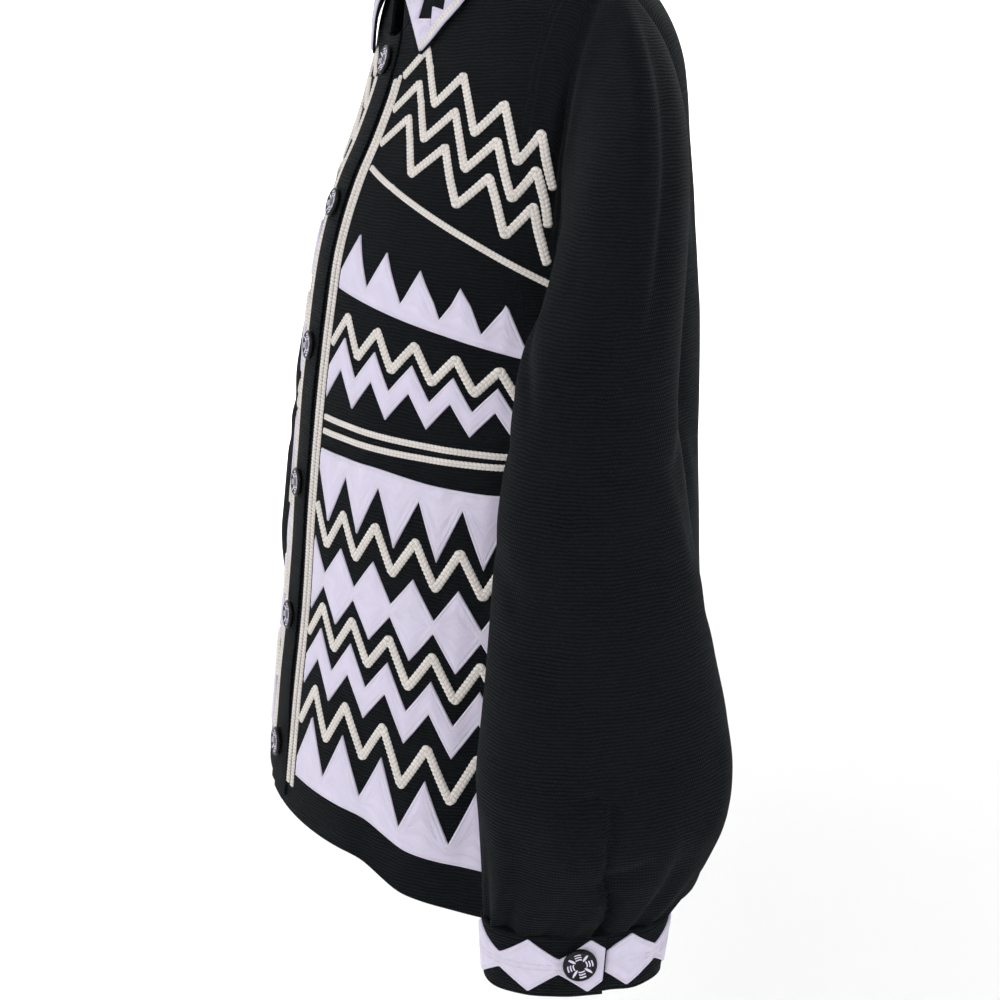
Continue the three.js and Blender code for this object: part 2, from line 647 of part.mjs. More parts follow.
// White cloth and braid sewn to the fronts, laid on the facets of the panel below
// kind: points = a strip with teeth up (or down when tall is negative), zigzag = an even
// bent strip, lozenges = a chain; t = height share, base and tall in the same share,
// turns = teeth, from = 1 where a row starts on a high point
const CLOTH_ROWS = [
  { name: 'hem_points', kind: 'points', t: 0.05, base: 0.022, tall: 0.062, turns: 7 },
  { name: 'hem_zigzag', kind: 'zigzag', t: 0.165, base: 0.036, tall: 0.042, turns: 7 },
  { name: 'lozenges', kind: 'lozenges', t: 0.302, base: 0.007, tall: 0.038, turns: 7, from: 1 },
  { name: 'hanging_points', kind: 'points', t: 0.452, base: -0.02, tall: -0.06, turns: 7 },
];
const CLOTH_S = { from: 0.075, to: 0.985 };
const frontNormals = {};
const frontGrids = {};
[1, -1].forEach((h) => {
  frontGrids[h] = frontGrid(h);
  frontNormals[h] = normals(frontGrids[h], false);
});
function cell(list, v) {
  let i = 0;
  while (i < list.length - 2 && v > list[i + 1]) i += 1;
  return [i, clamp((v - list[i]) / (list[i + 1] - list[i]), 0, 1)];
}
function onFront(hand, s, t, out) {
  const [c, u] = cell(FRONT_COLS, s);
  const [r, v] = cell(T_ROWS, t);
  const blend = (g) => {
    const a = g[r][c];
    const b = g[r][c + 1];
    const d = g[r + 1][c];
    const e = g[r + 1][c + 1];
    const p = a.clone();
    if (u >= v) return p.addScaledVector(b.clone().sub(a), u).addScaledVector(e.clone().sub(b), v);
    return p.addScaledVector(d.clone().sub(a), v).addScaledVector(e.clone().sub(d), u);
  };
  const n = blend(frontNormals[hand]).normalize().multiplyScalar(hand);
  return blend(frontGrids[hand]).addScaledVector(n, out);
}
function clothStrip(row, hand) {
  const span = CLOTH_S.to - CLOTH_S.from;
  const at = new Set();
  for (let i = 0; i <= row.turns * 2; i += 1) at.add(CLOTH_S.from + (span * i) / (row.turns * 2));
  FRONT_COLS.forEach((s) => {
    const near = [...at].some((q) => Math.abs(q - s) < 0.012);
    if (s > CLOTH_S.from && s < CLOTH_S.to && !near) at.add(s);
  });
  const cols = [...at].sort((a, b) => a - b);
  const wave = (s) => {
    const k = ((s - CLOTH_S.from) / span) * row.turns;
    const w = 1 - Math.abs((k % 1) * 2 - 1);
    return row.from ? 1 - w : w;
  };
  const edges = cols.map((s) => {
    const w = wave(s);
    if (row.kind === 'zigzag') return [row.t + row.tall * w, row.t + row.tall * w + row.base];
    if (row.kind === 'lozenges') {
      return [row.t - row.base - row.tall * w, row.t + row.base + row.tall * w];
    }
    const tip = row.t + row.base + row.tall * w;
    return [Math.min(row.t, tip), Math.max(row.t, tip)];
  });
  const grid = (out) => [0, 1].map((k) => cols.map((s, i) => onFront(hand, s, edges[i][k], out)));
  return solidOf(grid(LIFT + PATCH), grid(LIFT), false, hand < 0);
}
CLOTH_ROWS.forEach((row) => {
  add(`${row.name}_left`, clothStrip(row, 1), 'patch');
  add(`${row.name}_right`, clothStrip(row, -1), 'patch');
});

// Braid along the button band, from hem to neck
function edgeBraid(hand) {
  const x0 = hand > 0 ? 0.022 : 0.012;
  const rows = T_ROWS.filter((t) => t > 0.03 && t < 0.93);
  const grid = (out) => rows.map((t) => [x0, x0 + 0.019].map((s) => onFront(hand, s, t, out)));
  return solidOf(grid(LIFT + BRAID), grid(LIFT), false, hand < 0);
}
add('edge_braid_left', edgeBraid(1), 'braid');
add('edge_braid_right', edgeBraid(-1), 'braid');

export default group;
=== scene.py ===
"""Knitted cardigan with white cloth applique and braid, hollow and filled out as worn.

Lengths in the tables are millimetres; the frame and every mesh are in metres.
"""

import math

import bpy
import numpy as np
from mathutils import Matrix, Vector


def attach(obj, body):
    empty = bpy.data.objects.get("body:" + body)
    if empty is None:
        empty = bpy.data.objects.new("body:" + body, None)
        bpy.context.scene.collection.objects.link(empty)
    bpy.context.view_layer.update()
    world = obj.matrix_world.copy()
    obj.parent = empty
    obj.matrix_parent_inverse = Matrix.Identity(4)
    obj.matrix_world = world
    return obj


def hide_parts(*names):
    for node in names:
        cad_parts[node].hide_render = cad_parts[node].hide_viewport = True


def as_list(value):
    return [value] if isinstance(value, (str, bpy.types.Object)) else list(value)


bl_info = {
    "name": "Cardigan",
    "version": (1, 0, 0),
    "blender": (4, 5, 0),
    "location": "3D View > Sidebar > Cardigan",
    "description": "Builds a black knitted cardigan with applique, braid and buttons",
    "category": "Add Mesh",
}

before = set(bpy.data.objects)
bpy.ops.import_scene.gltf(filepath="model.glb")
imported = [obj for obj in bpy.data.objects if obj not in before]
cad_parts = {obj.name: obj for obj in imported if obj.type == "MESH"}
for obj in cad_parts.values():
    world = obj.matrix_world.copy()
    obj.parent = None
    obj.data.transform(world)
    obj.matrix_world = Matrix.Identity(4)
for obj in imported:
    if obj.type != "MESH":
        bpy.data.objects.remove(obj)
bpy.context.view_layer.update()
MM = 0.001
HANDS = (1, -1)

# Thickness of the knit, doubled cuff, collar and white cloth, the gap at a seam, lift of the cloth
KNIT, CUFF_WALL, COLLAR_WALL, PATCH, GAP, LIFT = 2.0, 2.6, 2.2, 1.0, 0.3, 0.4
# Sizes of the cut; T_ARM is the share of a panel's height that lies below the underarm
HEM_Z, UNDERARM_Z, ARMHOLE_TOP_Z = -706.0, -262.0, -40.0
NECK_X, NECK_FRONT_Z, NECK_BACK_Z = 74.0, -84.0, -16.0
SHOULDER_X, SHOULDER_FALL, SHOULDER_ROUND = 192.0, 0.40, 78.0
BAND_HALF = 15.0
FRONT_X = BAND_HALF + GAP
BAND_STEP = KNIT + GAP
T_ARM = 0.64
SIDE_GAP = 0.0004


def table(keys, rows):
    """A short table as one array for each named column."""
    return dict(zip(keys.split(), np.array(rows, float).T))


# Body by height: half width, depth in front and behind, and how square each of them is
BODY = table("z half front back nf nb", [
    (-706, 221, 193, 142, 2.0, 2.3), (-640, 216, 186, 140, 2.0, 2.3),
    (-578, 211, 179, 138, 2.0, 2.3), (-506, 207, 170, 136, 2.0, 2.3),
    (-424, 204, 163, 134, 1.98, 2.3), (-340, 204, 154, 131, 1.92, 2.35),
    (-275, 204, 145, 126, 1.85, 2.45), (-245, 202, 140, 122, 1.8, 2.5),
    (-215, 198, 132, 118, 1.75, 2.6), (-187, 196, 122, 114, 1.7, 2.7),
    (-155, 196, 107, 109, 1.7, 2.7), (-120, 196, 93, 103, 1.72, 2.8),
    (-84, 196, 83, 97, 1.75, 2.8), (0, 196, 74, 84, 1.8, 2.8)])
ARMHOLE = table("z x", [(-262, 203.6), (-256, 201), (-244, 196), (-226, 190), (-195, 186),
                        (-150, 184.5), (-100, 186), (-40, 192)])
# Rise of each hem over HEM_Z by share of the girth from the centre
HEM_LEFT = table("at dz", [(0, 35), (0.3, 35), (0.5, 20), (1, 4)])
HEM_RIGHT = table("at dz", [(0, 43), (0.3, 37), (0.5, 21), (1, 4)])
HEM_BACK = table("at dz", [(0, 0), (1, 0)])
# Level rings of the sleeve: centre, half sizes, squareness and turn in degrees
SLEEVE = table("z cx cy rx ry n turn", [
    (-306, 258, -34, 49, 52, 2.0, 0), (-345, 261, -36, 50, 57, 2.1, 0),
    (-385, 264, -37, 52, 63, 2.1, 0), (-430, 268, -36, 54, 69, 2.1, 0),
    (-475, 271, -34, 55, 76, 2.1, 0), (-520, 273, -32, 56, 83, 2.1, 2),
    (-552, 275, -32, 56, 86, 2.1, 4), (-584, 277, -33, 54, 84, 2.1, 6),
    (-609, 277, -38, 48, 78, 2.1, 9), (-632, 276, -45, 41, 70, 2.1, 12),
    (-648, 275, -51, 34, 63, 2.1, 15)])
SLEEVE_TOP, SLEEVE_END = SLEEVE["z"][0], SLEEVE["z"][-1]
# Cuff: its top, height, steps round it, steps of lap, and the step where the lap starts
CUFF_TOP, CUFF_HEIGHT, CUFF_STEPS, CUFF_LAP, LAP_START = -648.4, 43.0, 32, 3, -1.6
CUFF = dict(cx=275.0, cy=-52.0, rx=34.0, ry=63.0, n=2.1, turn=15.0, taper=0.94)
# Places round the neck edge, from the band's left end to its right: how many, back, shoulder
NECK_STEPS, NECK_BACK, NECK_SHOULDER = 26, 13, 7
# Outer edge of the collar leaf, from its front point to the middle of the back
LEAF = table("at x y z", [
    (0, 58, -86, -99), (0.1, 78, -79, -84), (0.25, 100, -66, -64), (0.4, 113, -42, -34),
    (0.55, 117, -6, -13), (0.68, 108, 36, -18), (0.82, 74, 68, -34), (0.93, 30, 80, -42),
    (1, 0, 81.5, -43)])
# Half width of the neck at the band, the stand's height behind and in front, lift of the leaf
NECK_ENDS, STAND, STAND_END, LEAF_LIFT = 14.5, 27.0, 23, 4.2
# Heights of the front buttons, and the cuff button's step and distance down the cuff
BUTTON_Z = (-102, -206, -312, -418, -524, -628)
CUFF_BUTTON = (0.2, 17.0)

# Pleats let into the cuff: degrees round the sleeve (0 outside, 90 front), depth at the
# cuff, height above it, half width in degrees, and lean in degrees at the upper end
PLEATS = [(-6, 6.5, 90, 4.6, 18), (24, 3.0, 44, 6, -3), (56, 7.0, 96, 7.5, -9), (79, 4.6, 82, 6, 4),
          (100, 6.0, 84, 7.5, -5), (124, 2.8, 36, 6, 3), (148, 6.0, 96, 8, 4), (174, 3, 46, 7, -4),
          (200, 5.5, 74, 8, 6), (226, 3, 40, 7, 3), (248, 6.5, 104, 8, -6), (270, 2.6, 38, 6, 3),
          (292, 6.0, 80, 7.5, 4), (312, 2.6, 42, 6, -3), (330, 6.0, 92, 7, 6), (346, 2.4, 34, 5, 2)]
# Soft creases: start, end, depth (a ridge when negative), half width.
# Fronts and back: share of the girth and height; sleeves: degrees and height.
# First the length in mm of a panel's whole girth and of one degree round a sleeve.
PANEL_GIRTH, SLEEVE_DEGREE = 300, 1.1
FRONT_CREASES = [
    (0.97, -272, 0.70, -410, 3.0, 13), (0.95, -320, 0.82, -500, 2.2, 15),
    (0.99, -300, 0.90, -360, 2.0, 9), (0.84, -300, 0.62, -440, -1.6, 16),
    (0.52, -250, 0.47, -430, 1.3, 20), (0.35, -705, 0.31, -560, 2.4, 15),
    (0.60, -705, 0.63, -500, 2.6, 18), (0.47, -705, 0.48, -590, -2.2, 17),
    (0.86, -705, 0.88, -570, 2.2, 14), (0.74, -705, 0.75, -560, -2.4, 16),
    (0.97, -120, 0.90, -215, 3.4, 9), (0.90, -110, 0.80, -190, -1.6, 13),
    (0.93, -235, 0.74, -262, 1.6, 10), (0.20, -330, 0.24, -480, 1.0, 16)]
BACK_CREASES = [
    (0.97, -275, 0.72, -430, 3.2, 14), (0.90, -310, 0.60, -400, 1.8, 12),
    (0.60, -170, 0.56, -420, 2.2, 20), (0.30, -380, 0.26, -640, 2.6, 22),
    (0.45, -705, 0.44, -480, -2.8, 22), (0.62, -705, 0.65, -500, 3.0, 18),
    (0.84, -705, 0.82, -540, 2.4, 16), (0.74, -705, 0.73, -560, -2.2, 17),
    (0.10, -705, 0.12, -600, 2.0, 16), (0.96, -120, 0.88, -220, 3.0, 11),
    (0.82, -140, 0.72, -230, 1.6, 13)]
# Pleat sewn flat above the cuff opening: height, width in degrees, rise and groove, then its
# start and drift in degrees and the height over which it drifts
SEWN_PLEAT = (105, 19, 1.4, 3.4)
SEWN_DRIFT = (7, 18, 62)
SLEEVE_CREASES = [
    (86, -96, 112, -176, 4.6, 8), (70, -80, 92, -190, -2.2, 11), (120, -190, 96, -262, 3.0, 10),
    (128, -250, 70, -312, 3.4, 11), (150, -232, 104, -286, -2.0, 9), (40, -210, 66, -262, 1.4, 14),
    (142, -330, 92, -352, 2.0, 9), (118, -398, 60, -432, 2.2, 11), (96, -452, 36, -470, 1.4, 10),
    (24, -470, 18, -560, 1.8, 13), (-30, -330, -62, -420, 2.0, 14), (-75, -300, -40, -352, 2.4, 12),
    (40, -545, 28, -612, -1.8, 11), (60, -560, 62, -610, 1.6, 8), (-12, -590, 14, -604, 2.2, 6),
    (228, -250, 286, -306, 3.4, 11), (214, -330, 268, -356, 2.2, 10), (250, -410, 296, -450, 2.2, 12),
    (262, -500, 284, -580, 2.0, 13), (306, -520, 318, -590, -1.8, 12), (176, -480, 196, -560, 2, 13),
    (262, -120, 284, -200, 3.4, 9), (12, -541, 31, -548, 2.6, 5), (-2, -40, -13, -262, 4.2, 10),
    (10, -60, 6, -280, -1.6, 13)]


# Arithmetic
def side_of(hand):
    return "left" if hand > 0 else "right"


def mix(a, b, t):
    return a + (b - a) * t


def smooth(t):
    c = np.clip(t, 0, 1)
    return c * c * (3 - 2 * c)


def unit(v):
    return v / np.maximum(np.linalg.norm(v, axis=-1, keepdims=True), 1e-12)


def stack(x, y, z):
    return np.stack(np.broadcast_arrays(x, y, z), -1).astype(float)


def wave(turns):
    """Even teeth from 0 up to 1 and back, one to a turn."""
    return 1 - np.abs(turns % 1 * 2 - 1)


def spread(*values):
    """The values as float arrays of one common shape."""
    return np.broadcast_arrays(*(np.asarray(v, float) for v in values))


def normals(base, a, b, da, db):
    """Unit normals of a surface base(a, b), by small steps to both sides."""
    return unit(np.cross(base(a + da, b) - base(a - da, b), base(a, b + db) - base(a, b - db)))


def run_length(points):
    """Length from the first point of a line to each of its points."""
    return np.concatenate([[0], np.cumsum(np.linalg.norm(np.diff(points, axis=0), axis=1))])


def look(tab, key, at, col):
    """Monotone smooth lookup of a column at places along another."""
    k, p = tab[key], tab[col]
    q = np.asarray(at, float)
    if k[-1] < k[0]:
        k, q = -k, -q
    q = np.clip(q, k[0], k[-1])
    i = np.clip(np.searchsorted(k, q, side="right") - 1, 0, len(k) - 2)
    slope = np.diff(p) / np.diff(k)
    tan = np.empty(len(k))
    tan[0], tan[-1] = slope[0], slope[-1]
    a, b = slope[:-1], slope[1:]
    same = a * b > 0
    tan[1:-1] = np.where(same, 2 * a * b / np.where(same, a + b, 1), 0)
    h = k[i + 1] - k[i]
    t = (q - k[i]) / h
    t2, t3 = t * t, t * t * t
    return ((2 * t3 - 3 * t2 + 1) * p[i] + (t3 - 2 * t2 + t) * h * tan[i]
            + (-2 * t3 + 3 * t2) * p[i + 1] + (t3 - t2) * h * tan[i + 1])


def creases(a, b, rows, scale, turn=None):
    """Depth of the creases at places (a, b), with b in mm and a scaled to mm.

    Each crease bows a little, fades at both ends and is steeper on one side.
    """
    total = np.zeros(np.broadcast(a, b).shape)
    for a0, b0, a1, b1, deep, wide in rows:
        da = a - a0
        if turn:
            da = (da + turn / 2) % turn - turn / 2
        x, y = da * scale, b - b0
        vx, vy = (a1 - a0) * scale, b1 - b0
        length = math.hypot(vx, vy)
        along = (x * vx + y * vy) / length ** 2
        off = (x * vy - y * vx) / length
        bow = off - 0.06 * length * np.sin(np.clip(along, 0, 1) * math.pi)
        end = np.where(along < 0.5, along + 0.12, 1.12 - along)
        fade = smooth(end / 0.42)
        skew = np.where(bow > 0, wide * 1.35, wide * 0.8)
        total += deep * fade * np.exp(-(bow / skew) ** 2)
    return total


# Form of the body
def shoulder_z(x):
    return -np.maximum(0, np.abs(x) - NECK_X) * SHOULDER_FALL


def depth_at(x, z, side):
    """Depth y of the body at x and z, on the front (side -1) or the back (side 1)."""
    half = look(BODY, "z", z, "half")
    b = look(BODY, "z", z, "front" if side < 0 else "back")
    n = look(BODY, "z", z, "nf" if side < 0 else "nb")
    u = np.clip(np.abs(x) / half, 0, 1)
    g = (1 - u ** n) ** (1 / n)
    h = np.clip((shoulder_z(x) - z) / SHOULDER_ROUND, 0, 1)
    return side * b * g * np.sqrt(np.maximum(0, 1 - (1 - h) ** 2))


def neck_z(x, side):
    drop = NECK_FRONT_Z if side < 0 else NECK_BACK_Z
    q = np.clip(np.abs(x) / NECK_X, 0, 1)
    return (drop + 0.2) * np.maximum(np.cos(q * math.pi / 2), 0) ** 0.85 - 0.2


def top_z(x, side):
    return np.where(x >= NECK_X - 1e-6, shoulder_z(x) - 0.2, neck_z(x, side))


def panel_point(s, t, side, hand, hem, x0):
    """Outside of a panel at s (0 centre, 1 side) and t (0 hem, 1 shoulder or neck)."""
    s, t = spread(s, t)
    w = np.sin(s * math.pi / 2)
    zl = mix(HEM_Z + look(hem, "at", s, "dz"), UNDERARM_Z, t / T_ARM)
    xl = mix(x0, look(BODY, "z", zl, "half"), w)
    k = np.clip((t - T_ARM) / (1 - T_ARM), 0, 1)
    zu = mix(UNDERARM_Z, top_z(mix(x0, SHOULDER_X, w), side), k)
    xu = mix(x0, look(ARMHOLE, "z", mix(UNDERARM_Z, ARMHOLE_TOP_Z, k), "x"), w)
    low = t <= T_ARM
    x, z = np.where(low, xl, xu), np.where(low, zl, zu)
    y = depth_at(x, z, side)
    y = np.where((t > 0.9999) & (x >= NECK_X - 1e-6), side * GAP / 2, y)
    return stack(hand * x, y, z)


def front_base(hand):
    hem = HEM_LEFT if hand > 0 else HEM_RIGHT
    return lambda s, t: panel_point(np.clip(s, 0, 1), np.clip(t, 0, 1), -1, hand, hem, FRONT_X)


def on_front(hand):
    """Places on a front with its creases, at a distance out from the cloth."""
    base = front_base(hand)

    def place(s, t, out):
        s, t, out = spread(s, t, out)
        z = base(s, t)[..., 2]
        dip = creases(s, z, FRONT_CREASES, PANEL_GIRTH)
        edge = smooth((1 - s) / 0.06) * smooth((1 - t) / 0.05) * smooth((s + 0.02) / 0.1)
        n = normals(base, np.clip(s, 0.006, 0.994), np.clip(t, 0.004, 0.985), 0.005, 0.004)
        return base(s, t) + n * (hand * (out - dip * edge))[..., None]
    return place


def back_place(s, t, out):
    s, t, out = spread(s, t, out)

    def base(a, b):
        return panel_point(np.clip(np.abs(a), 0, 1), np.clip(b, 0, 1), 1, 1, HEM_BACK, 0.0) \
            * stack(np.where(a < 0, -1.0, 1.0), 1.0, 1.0)
    p = base(s, t)
    z = p[..., 2]
    # The rows serve both halves, a little apart so that the halves differ
    dip = creases(s + 0.05, z, BACK_CREASES, PANEL_GIRTH) + creases(-s, z, BACK_CREASES, PANEL_GIRTH)
    edge = smooth((1 - np.abs(s)) / 0.06) * smooth((1 - t) / 0.05)
    n = normals(base, np.clip(s, -0.994, 0.994), np.clip(t, 0.004, 0.985), 0.005, 0.004)
    return p - n * (out - dip * edge)[..., None]


# Form of a sleeve and cuff
def level_ring(row, angle):
    """Level rounded ring of a sleeve or cuff, at angles from 0 on the outside."""
    c, s = np.cos(angle), np.sin(angle)
    u = row["rx"] * np.sign(c) * np.abs(c) ** (2 / row["n"])
    v = -row["ry"] * np.sign(s) * np.abs(s) ** (2 / row["n"])
    k = -np.radians(row["turn"])
    return stack(row["cx"] + u * np.cos(k) - v * np.sin(k), row["cy"] + u * np.sin(k) + v * np.cos(k),
                 row["z"])


def pleat_in(deg, above):
    """Depth of the pleats and gathers of a sleeve at a height above the cuff."""
    d = np.zeros(np.broadcast(deg, above).shape)
    for at, deep, up, wide, lean in PLEATS:
        rise = np.clip(above / up, 0, 1)
        a = (deg - at - lean * rise + 180) % 360 - 180
        w = wide * (1 + 0.5 * rise)
        side = np.where(a > 0, w * 0.62, w * 1.25)
        d += deep * np.maximum(0, 1 - rise) ** 1.25 * np.exp(-(a / side) ** 2)
        d -= 0.22 * deep * np.maximum(0, 1 - rise) ** 1.6 * np.exp(-((a - 0.95 * w) / (0.6 * w)) ** 2)
    tall, wide, rise, groove = SEWN_PLEAT
    start, drift, high = SEWN_DRIFT
    a = (deg + start - drift * smooth(above / high) + 180) % 360 - 180
    on = smooth((tall - above) / 7) * (above > -5)
    d -= rise * on * smooth((a + 0.6) / 2.4) * smooth((wide - a) / 7) * smooth(above / 30 + 0.3)
    d += groove * on * smooth(above / 22 + 0.35) * np.exp(-((a + 1.3) / 1.9) ** 2)
    gather = 0.9 * np.sin(np.radians(deg) * 26 + 1.3 * np.sin(np.radians(deg) * 5))
    d += gather * np.clip(1 - above / 26, 0, 1) ** 1.5
    return d


def armhole_ring(cols):
    """Edge of the armhole from the shoulder down the front and up the back."""
    t = mix(T_ARM, 1, np.linspace(0, 1, 240))
    f = panel_point(1 - SIDE_GAP, t, -1, 1, HEM_LEFT, FRONT_X)[::-1]
    b = panel_point(1 - SIDE_GAP, t, 1, 1, HEM_BACK, 0.0)
    f[0] = b[-1] = (f[0] + b[-1]) / 2
    f[-1] = b[0] = (f[-1] + b[0]) / 2
    ring = np.concatenate([f, b[1:]])
    arc = run_length(ring)
    at = np.linspace(0, arc[-1], cols, endpoint=False)
    return np.stack([np.interp(at, arc, ring[:, k]) for k in range(3)], -1)


def sleeve_grid(cols=200, cap=46, low=112):
    """Outside of the left sleeve, from the armhole over the cap and down to the cuff."""
    start = armhole_ring(cols)
    a = np.linspace(0, 2 * math.pi, cols, endpoint=False)
    w = (1 - np.cos(a)) / 2
    first = {k: v[0] for k, v in SLEEVE.items()}
    t = (np.arange(cap) / cap)[:, None, None] ** 1.1
    z0 = np.zeros(cols)
    p0 = start + stack(mix(0.55, 1.6, w ** 4), z0, mix(-0.1, 0.5, w ** 4))
    p1 = level_ring(first, a)
    span = np.linalg.norm(p1 - p0, axis=1)[:, None]
    d0 = unit(stack(mix(0.94, 0.5, w), z0, mix(-0.34, -0.87, w))) * span * mix(0.95, 0.6, w)[:, None]
    d1 = stack(mix(0.04, 0.03, w), z0, -1.0) * span * mix(0.9, 0.5, w)[:, None]
    t2, t3 = t * t, t ** 3
    head = p0 * (2 * t3 - 3 * t2 + 1) + d0 * (t3 - 2 * t2 + t) + p1 * (-2 * t3 + 3 * t2) + d1 * (t3 - t2)
    q = np.linspace(0, 1, low)
    z = mix(SLEEVE_TOP, SLEEVE_END, q * 0.72 + 0.28 * (1 - (1 - q) ** 2))[:, None]
    row = {k: look(SLEEVE, "z", z, k) for k in ("cx", "cy", "rx", "ry", "n", "turn")}
    row["z"] = z
    grid = np.concatenate([head, level_ring(row, a[None, :])])
    deg = np.degrees(a)[None, :]
    dip = creases(deg + 0 * grid[..., 2], grid[..., 2], SLEEVE_CREASES, SLEEVE_DEGREE, 360)
    dip = dip * smooth(np.arange(len(grid)) / 7)[:, None]
    # A low roll beside the armhole seam
    near = np.arange(len(grid))[:, None]
    dip += 1.1 * np.exp(-((near - 1.2) / 1.4) ** 2) * (near > 0) - 0.7 * np.exp(-((near - 5) / 2.0) ** 2)
    dip += pleat_in(deg, grid[..., 2] - SLEEVE_END) * (grid[..., 2] < SLEEVE_TOP)
    n = grid_normals(grid, True)
    n[-6:, :, 2] = 0
    n[0, :, 0] = 0
    return grid - unit(n) * dip[..., None]


RING = {k: np.array(v) for k, v in CUFF.items()}
_turns = np.linspace(0, 2 * math.pi, 1441)
_ring = level_ring({**RING, "z": 0.0}, _turns)
_arc = run_length(_ring)
CUFF_GIRTH = _arc[-1]


def cuff_place(step, h, out):
    """Cuff at a step round the arm and h down from its top."""
    step, h, out = spread(step, h, out)
    under = smooth((step - (LAP_START + CUFF_STEPS - 2.6)) / 2.2) * (CUFF_WALL + 0.6)
    t = h / CUFF_HEIGHT
    k = mix(1, CUFF["taper"], t)
    row = {**RING, "rx": RING["rx"] * k, "ry": RING["ry"] * k, "z": CUFF_TOP - h}
    row["cy"] = mix(CUFF["cy"], CUFF["cy"] - 2, t)
    a = np.interp((step / CUFF_STEPS % 1) * CUFF_GIRTH, _arc, _turns)
    q = level_ring(row, a)
    tan = level_ring(row, a + 0.01) - level_ring(row, a - 0.01)
    n = unit(stack(tan[..., 1], -tan[..., 0], 0 * h))
    way = np.sign(n[..., 0] * (q[..., 0] - row["cx"]) + n[..., 1] * (q[..., 1] - row["cy"]))
    return q + n * (way * (out - under))[..., None]


# Form of the band and collar
def band_place(x, z, out):
    x, z, out = spread(x, z, out)
    e = 1.5
    zs = depth_at(x, z + e, -1) - depth_at(x, z - e, -1)
    xs = depth_at(np.abs(x) + e, z, -1) - depth_at(np.maximum(0, np.abs(x) - e), z, -1)
    n = unit(stack(xs / (2 * e) * np.where(x < 0, -1, 1), -1.0, zs / (2 * e)))
    return stack(x, depth_at(x, z, -1), z) + n * out[..., None]


def neck_edge(i):
    """Neck edge from place 0 at the left end of the band round to the right end."""
    i = np.asarray(i, float)
    m = np.where(i > NECK_BACK, NECK_STEPS - i, i)
    hand = np.where(i > NECK_BACK, -1.0, 1.0)
    front = m < NECK_SHOULDER
    q = np.where(front, mix(NECK_ENDS / NECK_X, 1, (np.minimum(m, NECK_SHOULDER) / NECK_SHOULDER) ** 0.8),
                 1 - (m - NECK_SHOULDER) / (NECK_BACK - NECK_SHOULDER))
    x = NECK_X * np.clip(q, 0, 1)
    z = np.where(front, neck_z(x, -1), neck_z(x, 1))
    zz = np.minimum(z, -0.3)
    y = np.where(front, depth_at(x, zz, -1), depth_at(x, zz, 1))
    y *= smooth(np.abs(m - NECK_SHOULDER) / 0.6)
    return stack(hand * x, y, z)


def outward(p):
    """Level direction away from the middle of the neck."""
    return unit(stack(p[..., 0], p[..., 1] + 8, 0.0))


def stand_place(i, v):
    p = neck_edge(i)
    u = np.abs(2 * np.asarray(i, float) / NECK_STEPS - 1)
    high = mix(STAND, STAND_END, smooth(u * 1.1))
    radial = outward(p)
    lean = mix(0.26, 0.12, smooth(u))
    d = unit(stack(-radial[..., 0] * lean, -radial[..., 1] * lean, 1.0))
    return p + stack(0.0, 0.0, 0.9) + d * (high * v)[..., None]


def leaf_edge(i):
    """Outer edge of the collar leaf, laid on the body."""
    i = np.asarray(i, float)
    u = 1 - np.abs(2 * i / NECK_STEPS - 1)
    hand = np.where(i > NECK_BACK, -1.0, 1.0)
    x, y, z = (look(LEAF, "at", u, k) for k in "xyz")
    zf = np.minimum(z, shoulder_z(x) - 1)
    front = stack(x, depth_at(x, zf, -1), zf) + unit(np.array([0.25, -0.75, 0.6])) * LEAF_LIFT
    # Halve the range of heights until the surface is as deep as the leaf's edge
    lo, hi = np.full(x.shape, -200.0), shoulder_z(x)
    for _ in range(36):
        mid = (lo + hi) / 2
        deep = np.where(y < 0, np.abs(depth_at(x, mid, -1)), np.abs(depth_at(x, mid, 1)))
        far = deep > np.abs(y)
        lo, hi = np.where(far, mid, lo), np.where(far, hi, mid)
    n = unit(stack(0.2, np.where(y < 0, -0.2, 0.35), 0.9)) * LEAF_LIFT
    back = stack(x, y, lo) + n
    k = smooth((u - 0.42) / 0.14)[..., None]
    return mix(front, back, k) * stack(hand, 1.0, 1.0)


def leaf_base(i, v):
    i, v = spread(np.clip(i, 0, NECK_STEPS), v)
    top = stand_place(i, np.ones(i.shape))
    radial = outward(top)
    f = top + stack(0.0, 0.0, 3.2) + radial * 1.8
    e = leaf_edge(i)
    e[..., 0] = np.where(np.abs(i - NECK_BACK) < 1e-9, 0, e[..., 0])
    # Between its fold and its edge the leaf rises and swings out a little
    m = f + (e - f) * 0.42
    m[..., 2] = np.maximum(f[..., 2], e[..., 2]) + 7
    m += radial * 6
    v = v[..., None]
    return f * (1 - v) ** 2 + m * (2 * v * (1 - v)) + e * v * v


def leaf_place(i, v, out):
    i, v, out = spread(i, v, out)
    a = np.clip(i, 0.05, NECK_STEPS - 0.05)
    n = normals(leaf_base, a, np.clip(v, 0.02, 0.98), 0.05, 0.02)
    return leaf_base(i, v) - n * out[..., None]


# Mesh making
def grid_normals(grid, closed):
    if closed:
        a = np.roll(grid, -1, 1) - np.roll(grid, 1, 1)
    else:
        a = np.concatenate([grid[:, 1:2] - grid[:, :1], grid[:, 2:] - grid[:, :-2],
                            grid[:, -1:] - grid[:, -2:-1]], 1)
    b = np.concatenate([grid[1:2] - grid[:1], grid[2:] - grid[:-2], grid[-1:] - grid[-2:-1]])
    return unit(np.cross(a, b))


def quads(rows, cols, closed=False, start=0):
    r, c = np.meshgrid(np.arange(rows - 1), np.arange(cols if closed else cols - 1), indexing="ij")
    d = (c + 1) % cols
    return (np.stack([r * cols + c, r * cols + d, (r + 1) * cols + d, (r + 1) * cols + c], -1)
            + start).reshape(-1, 4)


